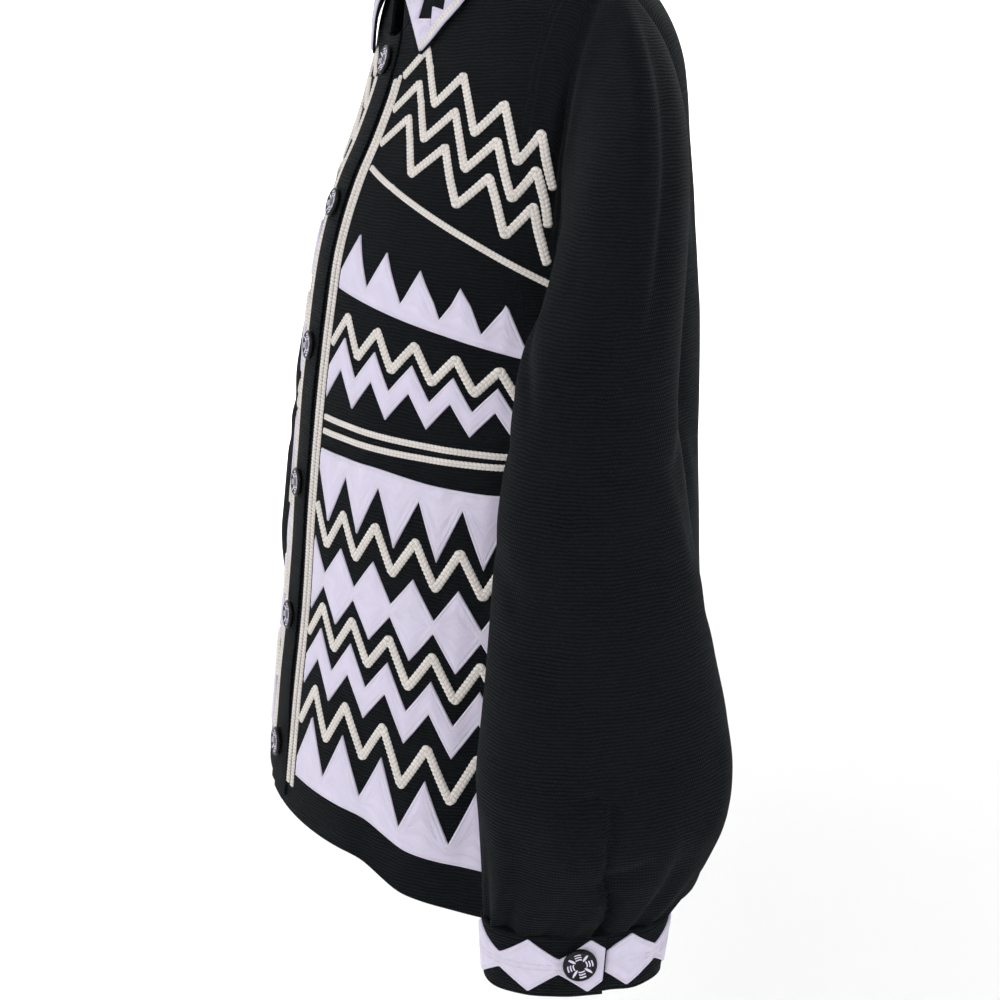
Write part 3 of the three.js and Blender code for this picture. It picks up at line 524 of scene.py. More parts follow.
def lengths(grid):
    """Running lengths along the columns and rows of a grid, in mm."""
    u = np.concatenate([np.zeros((len(grid), 1)),
                        np.cumsum(np.linalg.norm(np.diff(grid, axis=1), axis=2), 1)], 1)
    v = np.concatenate([np.zeros((1, grid.shape[1])),
                        np.cumsum(np.linalg.norm(np.diff(grid, axis=0), axis=2), 0)])
    return np.stack([u, v], -1)


def piece(name, verts, faces, material, uv=None, more=None, sharp=50, mirrored=False, slot="knit"):
    """A mesh object in metres from points in mm, with named coordinate maps in metres."""
    verts = np.asarray(verts, float).reshape(-1, 3) * MM
    faces = np.asarray(faces)
    if mirrored:
        verts = verts * np.array([-1.0, 1, 1])
        faces = faces[:, ::-1]
    mesh = bpy.data.meshes.new(name)
    mesh.from_pydata(verts.tolist(), [], [tuple(dict.fromkeys(f)) for f in faces.tolist()])
    mesh.update()
    corner = np.empty(len(mesh.loops), np.int32)
    mesh.loops.foreach_get("vertex_index", corner)
    for label, values in (("Cloth", uv), ("Edge", more)):
        if values is not None:
            values = np.asarray(values, float).reshape(-1, 2) * MM
            layer = mesh.uv_layers.new(name=label)
            layer.uv.foreach_set("vector", values[corner].astype(np.float32).ravel())
    mesh.polygons.foreach_set("use_smooth", np.ones(len(mesh.polygons), bool))
    mesh.set_sharp_from_angle(angle=math.radians(sharp))
    mesh.materials.append(material)
    made = bpy.data.objects.new(name, mesh)
    bpy.context.scene.collection.objects.link(made)
    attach(made, "root")
    return made


def shell(grid, wall, sign=1, flat=None):
    """Points and faces of a cloth wall: outer grid, the same moved in, and its edges.

    Where flat has a 0, the wall keeps level in that direction.
    """
    n = grid_normals(grid, False) * sign
    if flat is not None:
        n = unit(n * flat)
    rows, cols = grid.shape[:2]
    verts = np.concatenate([grid.reshape(-1, 3), (grid - n * wall).reshape(-1, 3)])
    outer = quads(rows, cols)
    count = rows * cols
    inner = outer[:, ::-1] + count
    low = np.arange(cols - 1)
    high = low + (rows - 1) * cols
    left = np.arange(rows - 1) * cols
    right = left + cols - 1
    faces = np.concatenate([
        outer, inner,
        np.stack([low + count, low + 1 + count, low + 1, low], -1),
        np.stack([high, high + 1, high + 1 + count, high + count], -1),
        np.stack([left, left + cols, left + cols + count, left + count], -1),
        np.stack([right, right + count, right + cols + count, right + cols], -1)])
    if sign < 0:
        faces = faces[:, ::-1]
    return verts, faces


def twice(uv):
    return np.concatenate([uv.reshape(-1, 2)] * 2)


# Distance in from the edge of the turned cloth, and the height of its surface
TURNED = [(0.0, -0.2), (0.0, 0.7), (0.4, 1.15), (1.0, 1.42), (1.7, 1.36), (2.15, 1.02), (2.6, 1.34),
          (3.6, 1.44), (6.0, 1.40)]


def cloth_strip(place, along, low, high):
    """Raised strip between two edges on a surface, with a turned and stitched rim."""
    p, q = place(along, low, 0.0), place(along, high, 0.0)
    wide = np.linalg.norm(q - p, axis=1)
    across = unit(q - p)

    def slant(edge):
        tan = unit(np.gradient(edge, axis=0))
        return np.clip(np.linalg.norm(np.cross(tan, across), axis=1), 0.42, 1)
    rows, outs, dist = [], [], []
    for d, out in TURNED:
        f = np.minimum(d / slant(p), wide * 0.5) / np.maximum(wide, 1e-6)
        rows.append(mix(low, high, f))
        outs.append(out)
        dist.append(np.minimum(d, wide * 0.5))
    rows.append((low + high) / 2)
    outs.append(TURNED[-1][1])
    dist.append(np.minimum(wide * 0.5, 9))
    for d, out in reversed(TURNED):
        f = 1 - np.minimum(d / slant(q), wide * 0.5) / np.maximum(wide, 1e-6)
        rows.append(mix(low, high, f))
        outs.append(out)
        dist.append(np.minimum(d, wide * 0.5))
    a = np.broadcast_to(along, (len(rows), len(along)))
    b = np.array(rows)
    inward = np.array([0, 0, 0.3] + [1] * 13 + [0.3, 0, 0])[:, None]
    puff = 0.25 * np.sin(along * 97.0)[None, :] * inward
    grid = place(a, b, np.array(outs)[:, None] * np.ones(a.shape) + puff)
    for e in (0, -1):
        grid[:, e] = place(a[:, e], b[:, e], np.minimum(np.array(outs), 0.1))
    uv = lengths(grid)
    edge = np.stack([uv[..., 0], np.array(dist)], -1)
    return grid, uv, edge


def strip_piece(name, place, along, low, high, material, node=None, mirrored=False, sign=1):
    grid, uv, edge = cloth_strip(place, along, low, high)
    faces = quads(*grid.shape[:2])
    if sign < 0:
        faces = faces[:, ::-1]
    made = piece(name, grid, faces, material, uv, edge, sharp=70, mirrored=mirrored, slot="applique")
    if node:
        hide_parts(node)
    return made


def saw(turns, start, end, per_side=11, first_high=False):
    """Places along a row of teeth and its height wave from 0 to 1."""
    k = np.linspace(0, turns, turns * 2 * per_side + 1)
    w = wave(k)
    w = np.where(np.isclose(k, np.round(k)), 0, w)
    if first_high:
        w = 1 - w
    return mix(start, end, k / turns), w


# Lean of a plait's strands: how far the rim of the braid runs ahead of its middle, in plaits
PLAIT_LEAN = 0.62
BRAID_ACROSS = np.array([-1, -0.82, -0.55, -0.26, 0, 0.26, 0.55, 0.82, 1.0])


def braid_grid(place, a, b, wide, thick, pitch, step=0.75, round_off=2.0):
    """Plaited braid laid along a path of places (a, b) on a surface."""
    dense = np.linspace(0, len(a) - 1, max(900, len(a)))
    fine_a, fine_b = (np.interp(dense, np.arange(len(a)), q) for q in (a, b))
    p = place(fine_a, fine_b, 0.0)
    arc = run_length(p)
    count = max(12, int(arc[-1] / step))
    at = np.linspace(0, arc[-1], count)
    aa, bb = np.interp(at, arc, fine_a), np.interp(at, arc, fine_b)
    reach = int(round(round_off * 2 / step))
    if reach > 1:
        bell = np.hanning(reach * 2 + 1)
        bell /= bell.sum()
        for arr in (aa, bb):
            pad = np.concatenate([2 * arr[0] - arr[reach:0:-1], arr, 2 * arr[-1] - arr[-2:-reach - 2:-1]])
            arr[:] = np.convolve(pad, bell, "valid")
    c = place(aa, bb, 0.0)
    n = unit(place(aa, bb, 1.0) - c)
    tan = unit(np.gradient(c, axis=0))
    side = unit(np.cross(n, tan))
    v = BRAID_ACROSS
    u = run_length(c)
    beat = np.abs(np.cos(math.pi * (u[None, :] / pitch + PLAIT_LEAN * np.abs(v)[:, None])))
    dome = np.sqrt(np.maximum(0, 1 - v ** 2))[:, None]
    high = thick * dome * (0.52 + 0.48 * beat ** 0.8) - 0.32 * np.exp(-(v / 0.14) ** 2)[:, None]
    end = np.clip(np.minimum(u, u[-1] - u) / 2.2, 0, 1)[None, :]
    high = (high + LIFT * 0.6) * np.sqrt(end * (2 - end)) - 0.15
    high[[0, -1]] = -0.3
    swell = (1 + 0.13 * (beat - 0.5)) * (0.35 + 0.65 * np.sqrt(end * (2 - end)))
    grid = c[None] + side[None] * (v[:, None] * swell * wide / 2)[..., None] + n[None] * high[..., None]
    uv = np.stack(np.broadcast_arrays(u[None, :], (v * wide / 2)[:, None]), -1)
    return grid, uv


def join_grids(parts):
    """Points, faces and maps of several grids as one."""
    verts, faces, uvs, start = [], [], [], 0
    for grid, uv, flip in parts:
        f = quads(*grid.shape[:2], start=start)
        faces.append(f[:, ::-1] if flip else f)
        verts.append(grid.reshape(-1, 3))
        uvs.append(uv.reshape(-1, 2))
        start += len(verts[-1])
    return np.concatenate(verts), np.concatenate(faces), np.concatenate(uvs)


# Materials
class Nodes:
    """Short calls that add and join nodes in a tree."""

    def __init__(self, tree):
        self.tree = tree

    def add(self, kind, inputs=None, **settings):
        node = self.tree.nodes.new(kind)
        for key, value in settings.items():
            setattr(node, key, value)
        for key, value in (inputs or {}).items():
            self.set(node.inputs[key], value)
        return node

    def set(self, socket, value):
        if isinstance(value, bpy.types.NodeSocket):
            self.tree.links.new(value, socket)
        else:
            socket.default_value = value

    def math(self, op, a, b=0.0, c=0.0, clamp=False):
        node = self.add("ShaderNodeMath", {0: a, 1: b, 2: c}, operation=op, use_clamp=clamp)
        return node.outputs[0]

    def times(self, a, b):
        return self.math("MULTIPLY", a, b)

    def over(self, a, b):
        return self.math("DIVIDE", a, b)

    def plus(self, a, b):
        return self.math("ADD", a, b)

    def minus(self, a, b, clamp=False):
        return self.math("SUBTRACT", a, b, clamp=clamp)

    def mix(self, factor, a, b):
        node = self.add("ShaderNodeMix", data_type="RGBA")
        self.set(node.inputs["Factor"], factor)
        self.set(node.inputs[6], a)
        self.set(node.inputs[7], b)
        return node.outputs[2]

    def noise(self, vector, scale, detail=2.0, rough=0.5):
        node = self.add("ShaderNodeTexNoise", {"Vector": vector, "Scale": scale, "Detail": detail,
                                               "Roughness": rough})
        return node.outputs["Fac"]

    def millimetres(self, vector):
        return self.add("ShaderNodeVectorMath", {0: vector, "Scale": 1000.0}, operation="SCALE").outputs[0]

    def split(self, vector):
        return self.add("ShaderNodeSeparateXYZ", {0: vector}).outputs

    def coordinates(self, name):
        return self.add("ShaderNodeUVMap", uv_map=name).outputs[0]

    def finish(self, bsdf, base, high, strength, distance, rough=None):
        """Feed a colour, a bump height and a roughness to the shader of a material."""
        bump = self.add("ShaderNodeBump", {"Strength": strength, "Distance": distance, "Height": high})
        self.set(bsdf.inputs["Base Color"], base)
        self.set(bsdf.inputs["Normal"], bump.outputs[0])
        if rough is not None:
            self.set(bsdf.inputs["Roughness"], rough)

    def range(self, value, a, b, c=0.0, d=1.0):
        node = self.add("ShaderNodeMapRange", {0: value, 1: a, 2: b, 3: c, 4: d}, clamp=True)
        return node.outputs[0]


def node_group(name, vector, values, outs):
    """Decorate a function that fills a shader node group, so that the group is built once.

    The group takes one vector and named values, and puts out the named values.
    """
    def wrap(fill):
        def get():
            tree = bpy.data.node_groups.get(name)
            if tree:
                return tree
            tree = bpy.data.node_groups.new(name, "ShaderNodeTree")
            tree.interface.new_socket(name=vector, in_out="INPUT", socket_type="NodeSocketVector")
            for label, value in values.items():
                sock = tree.interface.new_socket(name=label, in_out="INPUT", socket_type="NodeSocketFloat")
                sock.default_value = value
            for label in outs:
                tree.interface.new_socket(name=label, in_out="OUTPUT", socket_type="NodeSocketFloat")
            n = Nodes(tree)
            fill(n, n.add("NodeGroupInput").outputs, n.add("NodeGroupOutput").inputs)
            return tree
        return get
    return wrap


@node_group("Knit ribs", "Vector", {"Rib": 2.5, "Stitch": 1.9}, ("Height", "Painted shade"))
def knit_group(n, i, o):
    """Fine crosswise ribs of a crepe knit, with small stitches along each rib, and painted shade: crests
    lighter, valleys darker.
    """
    mm = n.millimetres(i["Vector"])
    wander = n.noise(mm, 0.05, 2)
    uneven = n.noise(mm, 0.42, 2)
    xyz = n.split(mm)
    rib = n.plus(n.over(xyz[1], i["Rib"]), n.times(wander, 1.6))
    rib = n.plus(rib, n.times(uneven, 0.34))
    crest = n.math("MULTIPLY_ADD", n.math("SINE", n.times(rib, 2 * math.pi)), 0.5, 0.5)
    odd = n.times(n.math("FLOOR", n.plus(rib, 0.25)), 0.5)
    run = n.plus(n.over(xyz[0], i["Stitch"]), odd)
    run = n.plus(run, n.times(uneven, 0.8))
    bead = n.math("MULTIPLY_ADD", n.math("SINE", n.times(run, 2 * math.pi)), 0.5, 0.5)
    high = n.times(n.math("POWER", crest, 0.75), n.math("MULTIPLY_ADD", bead, 0.48, 0.52))
    n.set(o["Height"], high)
    # Painted shade: the rib height, varied by noise, sets how light the knit's colour is
    n.set(o["Painted shade"], n.times(high, n.math("MULTIPLY_ADD", uneven, 0.9, 0.35)))


@node_group("Loose fibre", "Vector", {"Fine": 0.4, "Broad": 40.0}, ("Height", "Tint"))
def fibre_group(n, i, o):
    """Loose fibre: fine height noise and a broad tint that wanders over the piece."""
    mm = n.millimetres(i["Vector"])
    n.set(o["Height"], n.noise(mm, n.over(1.0, i["Fine"]), 3, 0.6))
    n.set(o["Tint"], n.noise(mm, n.over(1.0, i["Broad"]), 3, 0.55))


@node_group("Stitch line", "Edge", {"Inset": 2.15, "Length": 2.6, "Half": 0.3}, ("Thread", "Groove"))
def stitch_group(n, i, o):
    """A line of stitches at one distance in from an edge."""
    xyz = n.split(n.millimetres(i["Edge"]))
    off = n.math("ABSOLUTE", n.minus(xyz[1], i["Inset"]))
    line = n.minus(1.0, n.over(off, i["Half"]), clamp=True)
    dash = n.math("PINGPONG", n.over(xyz[0], i["Length"]), 0.5)
    dash = n.range(dash, 0.06, 0.16)
    n.set(o["Thread"], n.times(n.math("POWER", line, 0.6), dash))
    n.set(o["Groove"], n.range(off, 0.0, 1.1, 1.0, 0.0))


def shader(name, **values):
    mat = bpy.data.materials.get(name)
    if mat:
        return mat, None, None
    mat = bpy.data.materials.new(name)
    mat.use_nodes = True
    n = Nodes(mat.node_tree)
    bsdf = mat.node_tree.nodes["Principled BSDF"]
    for key, value in values.items():
        bsdf.inputs[key.replace("_", " ")].default_value = value
    return mat, n, bsdf


def grouped(n, tree, **inputs):
    node = n.add("ShaderNodeGroup", node_tree=tree)
    for key, value in inputs.items():
        n.set(node.inputs[key], value)
    return node.outputs


def rgba(colour, gain=1.0):
    return (colour[0] * gain, colour[1] * gain, colour[2] * gain, 1.0)


def knit_material(name="Knit", rib=None, topstitch=False):
    mat, n, bsdf = shader(name, Roughness=0.9, Sheen_Weight=0.018, Sheen_Roughness=0.4,
                          Specular_IOR_Level=0.07, Sheen_Tint=(0.78, 0.88, 0.92, 1))
    if n is None:
        return mat
    sizes, colours = settings()
    uv = n.coordinates("Cloth")
    ribs = grouped(n, knit_group(), Vector=uv, Rib=(rib or sizes.rib) / MM, Stitch=sizes.stitch / MM)
    fibre = grouped(n, fibre_group(), Vector=uv, Fine=0.5, Broad=55.0)
    # Painted highlight on the rib crests and painted shade in the valleys between them
    base = n.mix(ribs["Painted shade"], rgba(colours.knit, 0.35), rgba(colours.knit, 2.4))
    base = n.mix(n.range(fibre["Tint"], 0.3, 0.75, 0.0, 0.5), base, rgba(colours.knit, 1.6))
    high = n.plus(ribs["Height"], n.times(fibre["Height"], 0.35))
    if topstitch:
        line = grouped(n, stitch_group(), Edge=n.coordinates("Edge"), Inset=2.6, Length=3.0, Half=0.35)
        base = n.mix(n.times(line["Thread"], 0.6), base, rgba(colours.knit, 4.0))
        high = n.minus(high, n.times(line["Groove"], 0.9))
        high = n.plus(high, n.times(line["Thread"], 0.8))
    n.finish(bsdf, base, high, 0.75, 0.0009, n.range(ribs["Painted shade"], 0, 1, 0.95, 0.78))
    return mat


def applique_material():
    mat, n, bsdf = shader("Applique cloth", Roughness=0.72, Sheen_Weight=0.25, Sheen_Roughness=0.4,
                          Specular_IOR_Level=0.3)
    if n is None:
        return mat
    colours = settings()[1]
    white = colours.applique
    uv = n.coordinates("Cloth")
    fibre = grouped(n, fibre_group(), Vector=uv, Fine=0.7, Broad=30.0)
    line = grouped(n, stitch_group(), Edge=n.coordinates("Edge"), Inset=2.15, Length=2.4, Half=0.34)
    base = n.mix(n.range(fibre["Tint"], 0.3, 0.7), rgba(white, 0.90), rgba(white, 1.04))
    # Painted shade in the sewn groove beside the stitch line
    base = n.mix(n.times(line["Groove"], 0.26), base, rgba(white, 0.55))
    base = n.mix(n.times(line["Thread"], 0.8), base, rgba(colours.braid))
    high = n.plus(n.times(fibre["Height"], 0.35), n.times(line["Thread"], 0.6))
    pucker = n.noise(n.millimetres(uv), 0.16, 2)
    high = n.plus(high, n.times(pucker, 3.2))
    n.finish(bsdf, base, high, 0.5, 0.0004, n.range(fibre["Tint"], 0.2, 0.8, 0.66, 0.82))
    return mat


def braid_material():
    mat, n, bsdf = shader("Plaited braid", Roughness=0.8, Sheen_Weight=0.2, Specular_IOR_Level=0.3)
    if n is None:
        return mat
    sizes, colours = settings()
    uv = n.coordinates("Cloth")
    xyz = n.split(n.millimetres(uv))
    out = n.over(n.math("ABSOLUTE", xyz[1]), sizes.braid_width / MM / 2)
    lay = n.plus(n.over(xyz[0], sizes.braid_pitch / MM), n.times(out, PLAIT_LEAN))
    beat = n.math("ABSOLUTE", n.math("COSINE", n.times(lay, math.pi)))
    # Painted shade in the clefts between the plaits and along the middle of the braid
    cleft = n.range(beat, 0.0, 0.45, 1.0, 0.0)
    spine = n.range(out, 0.0, 0.14, 0.8, 0.0)
    painted_shade = n.math("MAXIMUM", cleft, spine)
    slant = n.minus(xyz[1], n.times(xyz[0], 0.7))
    thread = n.math("SINE", n.times(slant, 9.0))
    fibre = grouped(n, fibre_group(), Vector=uv, Fine=0.35, Broad=22.0)
    base = n.mix(n.range(fibre["Tint"], 0.3, 0.7), rgba(colours.braid, 0.9), rgba(colours.braid, 1.05))
    base = n.mix(n.times(painted_shade, 0.62), base, rgba(colours.braid, 0.3))
    high = n.plus(n.times(thread, 0.3), fibre["Height"])
    n.finish(bsdf, base, high, 0.5, 0.0003)
    return mat


# Radius at which the ticks of a button are centred
TICK_RADIUS = 6.3


def button_material():
    mat, n, bsdf = shader("Button", Roughness=0.34, Specular_IOR_Level=0.16, Coat_Weight=0.03,
                          Coat_Roughness=0.2)
    if n is None:
        return mat
    colours = settings()[1]
    mm = n.millimetres(n.coordinates("Cloth"))
    xyz = n.split(mm)
    squares = [n.times(xyz[k], xyz[k]) for k in (0, 1)]
    radius = n.math("SQRT", n.plus(*squares))
    turn = n.over(n.math("ARCTAN2", xyz[1], xyz[0]), 2 * math.pi)

    def spoke(shift):
        """Length along the rim from the middle of the nearest of four spokes."""
        part = n.minus(n.math("FRACT", n.math("MULTIPLY_ADD", turn, 4.0, shift)), 0.5)
        return n.times(n.times(part, math.pi / 2), radius)
    # Three short bars across four spokes, and one slim oval along each spoke between them
    side = spoke(0.35)
    out = n.minus(radius, TICK_RADIUS)
    wavy = n.times(n.math("SINE", n.times(side, 2.2)), 0.07)
    bar = n.math("PINGPONG", n.plus(n.plus(out, wavy), 3.6), 0.9)
    bar = n.range(bar, 0.34, 0.5, 1.0, 0.0)
    for reach, half in ((out, 2.2), (side, 2.1)):
        within = n.range(n.math("ABSOLUTE", reach), half, half + 0.2, 1.0, 0.0)
        bar = n.times(bar, within)
    side = spoke(0.85)
    oval = n.plus(n.math("POWER", n.over(side, 0.85), 2.0),
                  n.math("POWER", n.over(out, 2.9), 2.0))
    mask = n.math("MAXIMUM", bar, n.range(oval, 0.8, 1.1, 1.0, 0.0))
    scuff = n.noise(mm, 0.9, 3)
    base = n.mix(mask, n.mix(n.range(scuff, 0.4, 0.7), rgba(colours.button), rgba(colours.button, 1.5)),
                 rgba(colours.applique, 1.1))
    rough = n.range(scuff, 0.3, 0.75, 0.24, 0.42)
    n.finish(bsdf, base, n.minus(scuff, mask), 0.3, 0.0002, rough)
    return mat


def stage_material():
    mat, n, bsdf = shader("Pale floor", Roughness=0.9, Specular_IOR_Level=0.1)
    if n is None:
        return mat
    colours = settings()[1]
    where = n.add("ShaderNodeTexCoord").outputs["Object"]
    grain = n.noise(where, 3.0, 3)
    n.set(bsdf.inputs["Base Color"], n.mix(grain, rgba(colours.floor, 0.99), rgba(colours.floor)))
    return mat


# Settings
def length(label, text, value):
    return bpy.props.FloatProperty(name=label, description=text, default=value, min=0.0001, max=0.1,
                                   precision=4, subtype="DISTANCE", unit="LENGTH")


def colour(label, text, value):
    return bpy.props.FloatVectorProperty(name=label, description=text, default=value, size=3,
                                         min=0.0, max=1.0, subtype="COLOR")


class CardiganSizes(bpy.types.PropertyGroup):
    """Sizes of the knit, braid and buttons."""
    rib: length("Rib pitch", "Height of one crosswise rib of the knit", 0.0025)
    stitch: length("Stitch pitch", "Width of one stitch along a rib", 0.0019)
    braid_width: length("Braid width", "Width of the couched braid", 0.0065)
    braid_thick: length("Braid thickness", "Height of the couched braid", 0.0022)
    braid_pitch: length("Braid pitch", "Length of one plait of the braid", 0.0031)
    button_radius: length("Button radius", "Radius of every button", 0.0112)


class CardiganColours(bpy.types.PropertyGroup):
    """Colours of the finishes."""
    knit: colour("Knit", "Near-black yarn", (0.0036, 0.0046, 0.0058))
    applique: colour("Applique", "White cloth of the applique", (0.60, 0.56, 0.70))
    braid: colour("Braid", "Cream thread of the braid", (0.72, 0.675, 0.64))
    button: colour("Button", "Black of the buttons", (0.004, 0.004, 0.005))
    floor: colour("Floor", "Pale floor and backdrop", (0.90, 0.90, 0.90))


def settings():
    return bpy.context.scene.cardigan_sizes, bpy.context.scene.cardigan_colours


# Pieces
# Heights of the panels' grid lines, then the girth shares where the white rows start and end
FINE_T = np.concatenate([np.linspace(0, T_ARM, 105)[:-1],
                         mix(T_ARM, 1, np.sin(np.linspace(0, 1, 62) * math.pi / 2) ** 0.98)])
FRONT_ROWS_AT = (0.075, 0.985)


def braid_sizes():
    """Width, thickness and pitch of the braid in mm."""
    sizes = settings()[0]
    return [x / MM for x in (sizes.braid_width, sizes.braid_thick, sizes.braid_pitch)]


def knit_uv(grid):
    """Length along each row, and height, which goes by length above the underarm."""
    uv = lengths(grid)
    z = grid[..., 2]
    low = np.where(z < UNDERARM_Z, z, UNDERARM_Z)
    up = np.cumsum(np.concatenate([np.zeros((1, z.shape[1])),
                                   np.linalg.norm(np.diff(grid, axis=0), axis=2)
                                   * (z[1:] > UNDERARM_Z)]), 0)
    return np.stack([uv[..., 0], low + up], -1)


def build_front(hand):
    side = side_of(hand)
    s = np.linspace(0, 1, 84) * (1 - SIDE_GAP)
    grid = on_front(hand)(s[None, :], FINE_T[:, None], 0.0)
    flat = np.ones(grid.shape[:2] + (3,))
    flat[: np.searchsorted(FINE_T, T_ARM) + 1, -1, 1] = 0
    flat[-1, grid[-1, :, 0] * hand >= NECK_X, 1] = 0
    verts, faces = shell(grid, KNIT, sign=hand, flat=flat)
    made = piece(f"Front_{side}", verts, faces, knit_material(), twice(knit_uv(grid)))
    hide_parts(f"front_{side}")
    return made


def build_back():
    s = np.linspace(-1, 1, 131) * (1 - SIDE_GAP)
    grid = back_place(s[None, :], FINE_T[:, None], 0.0)
    flat = np.ones(grid.shape[:2] + (3,))
    low = np.searchsorted(FINE_T, T_ARM) + 1
    flat[:low, 0, 1] = 0
    flat[:low, -1, 1] = 0
    flat[-1, np.abs(grid[-1, :, 0]) >= NECK_X, 1] = 0
    verts, faces = shell(grid, KNIT, sign=-1, flat=flat)
    made = piece("Back", verts, faces, knit_material(), twice(knit_uv(grid)))
    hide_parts("back")
    return made


def build_sleeve(hand):
    """A sleeve, made for the left arm and mirrored for the right."""
    side = side_of(hand)
    grid = sleeve_grid()
    # The seam of the closed map lies under the arm
    half = grid.shape[1] // 2
    grid = np.roll(grid, -half, 1)
    outer = grid[:, half]
    run = run_length(outer)
    v = np.interp(-grid[..., 2], -outer[:, 2], -run)
    ring = np.concatenate([grid, grid[:, :1]], 1)
    u = lengths(ring)[..., 0]
    u = u - u[:, half][:, None]
    flat = np.ones(ring.shape)
    flat[0, :, 0] = 0
    flat[-1, :, 2] = 0
    verts, faces = shell(ring, KNIT, flat=flat)
    uv = np.stack([u, np.concatenate([v, v[:, :1]], 1)], -1)
    made = piece(f"Sleeve_{side}", verts, faces, knit_material(), twice(uv), mirrored=hand < 0)
    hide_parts(f"sleeve_{side}")
    return made


# Rolled rims of a cuff, each with a sewn groove: distance from its top and height of the surface
CUFF_RIMS = np.array([(0, -1.0), (0.35, -0.35), (1.2, 0), (2.2, -0.1), (2.6, -0.45), (3.1, -0.1),
                      (39.9, -0.1), (40.4, -0.45), (40.9, -0.1), (42, 0), (42.7, -0.35), (43, -1.0)])
CUFF_RIB = 0.0022


def build_cuff(hand):
    side = side_of(hand)
    step = np.linspace(0, CUFF_STEPS + CUFF_LAP, 211) + LAP_START
    h = np.sort(np.concatenate([CUFF_RIMS[:, 0], [6, 10, 14, 18, 21.5, 25, 29, 33, 37]]))
    roll = np.interp(h, *CUFF_RIMS.T)
    ripple = 0.35 * np.sin(step * 2.3) * np.interp(h, [0, 8, CUFF_HEIGHT], [1, 0.2, 0.5])[:, None]
    grid = cuff_place(step[None, :], h[:, None], roll[:, None] + ripple)
    verts, faces = shell(grid, CUFF_WALL - 0.8, flat=np.array([1, 1, 0.0]))
    uv = lengths(grid)
    edge = np.stack([uv[..., 0], np.minimum(h, CUFF_HEIGHT - h)[:, None] + 0 * uv[..., 0]], -1)
    made = piece(f"Cuff_{side}", verts, faces, knit_material("Knit cuff", CUFF_RIB, True), twice(uv),
                 twice(edge), mirrored=hand < 0)
    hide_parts(f"cuff_{side}")
    return made


def build_chain(hand):
    """White lozenges joined point to point round a cuff."""
    side = side_of(hand)
    k = np.linspace(0, CUFF_STEPS - 0.15, CUFF_STEPS * 7)
    # The upper end is cut half way up a lozenge, and the under end stops near a join
    phase = mix(0.95, CUFF_STEPS - 0.4, k / k[-1])
    half = mix(10.5, 37.5, wave(phase / 4) ** 1.1) / 2
    along = LAP_START + np.maximum(k, 0.06)
    mid = CUFF_HEIGHT / 2 - 1.0
    # Places run down from the top of the cuff, so the upper edge comes first
    chain = strip_piece(f"Cuff_chain_{side}", cuff_place, along, mid - half, mid + half,
                        applique_material(), f"cuff_chain_{side}", mirrored=hand < 0)
    rows = [stitches(cuff_place, LAP_START + 2.6, LAP_START + CUFF_STEPS - 3.0, mid + off, 150)
            for off in (-1.7, 1.7)]
    count = len(rows[0][0])
    sewn = piece(f"Cuff_stitches_{side}", np.concatenate([r[0] for r in rows]),
                 np.concatenate([rows[0][1], rows[1][1] + count]), braid_material(),
                 np.concatenate([r[2] for r in rows]), mirrored=hand < 0, slot="applique")
    return [chain, sewn]


def stitches(place, start, end, b, count, thick=0.45):
    """A row of short raised stitches along a surface at height b."""
    verts, faces, uv = [], [], []
    at = np.linspace(start, end, count)
    long = (at[1] - at[0]) * 0.36
    base = LIFT + PATCH + 0.02
    ribs = [(da, db, out) for da in (-long * 0.3, long * 0.3)
            for db, out in ((0.3, 0.05), (0, thick), (-0.3, 0.05))]
    for n, a in enumerate(at):
        jog = 0.12 * math.sin(n * 2.4)
        for da, db, out in [(-long, 0, 0)] + ribs + [(long, 0, 0)]:
            verts.append((a + da, b + db + jog, base + out))
            uv.append((n * 1.9 + da * 8, db))
        k = n * 8
        faces += [(k, k + 2, k + 1, k + 1), (k, k + 3, k + 2, k + 2), (k + 1, k + 2, k + 5, k + 4),
                  (k + 2, k + 3, k + 6, k + 5), (k + 4, k + 5, k + 7, k + 7), (k + 5, k + 6, k + 7, k + 7)]
    v = np.array(verts)
    return place(v[:, 0], v[:, 1], v[:, 2]), np.array(faces), np.array(uv)


# Name, kind, height share, even width, teeth, starts on a high point
CLOTH_ROWS = [("hem_points", "points", 0.05, 0.022, 0.062, False),
              ("hem_zigzag", "zigzag", 0.165, 0.036, 0.042, False),
              ("lozenges", "lozenges", 0.302, 0.007, 0.038, True),
              ("hanging_points", "points", 0.452, -0.02, -0.06, False)]
# The chest: the same by share of the way from the waist braid up to the yoke braid
WAIST_Z, YOKE_Z, YOKE_FALL = -369.0, -170.0, 88.0
CHEST_ROWS = [("Chest_zigzag", "zigzag", 0.13, 0.12, 0.135), ("Chest_points", "points", 0.55, 0.06, 0.17)]
# Braid lines: height share and teeth, below the waist, up to the yoke, and in mm over it
BRAID_ROWS = [(0.118, 0.052), (0.2275, 0.043), (0.388, -0.045)]
CHEST_BRAIDS = [(0.0, 0.0), (0.055, 0.0), (0.335, 0.135), (1.0, 0.0)]
YOKE_BRAIDS = [(16, 29), (40, 29), (64, 29)]
# How slim the level lines are, and the girth shares of the two upright braids beside the band
LINE_SLIM, EDGE_AT, EDGE_APART = 0.72, {1: 0.0310, -1: 0.0210}, 0.0255
# Height share that no row or braid passes
ROWS_TOP = 0.972


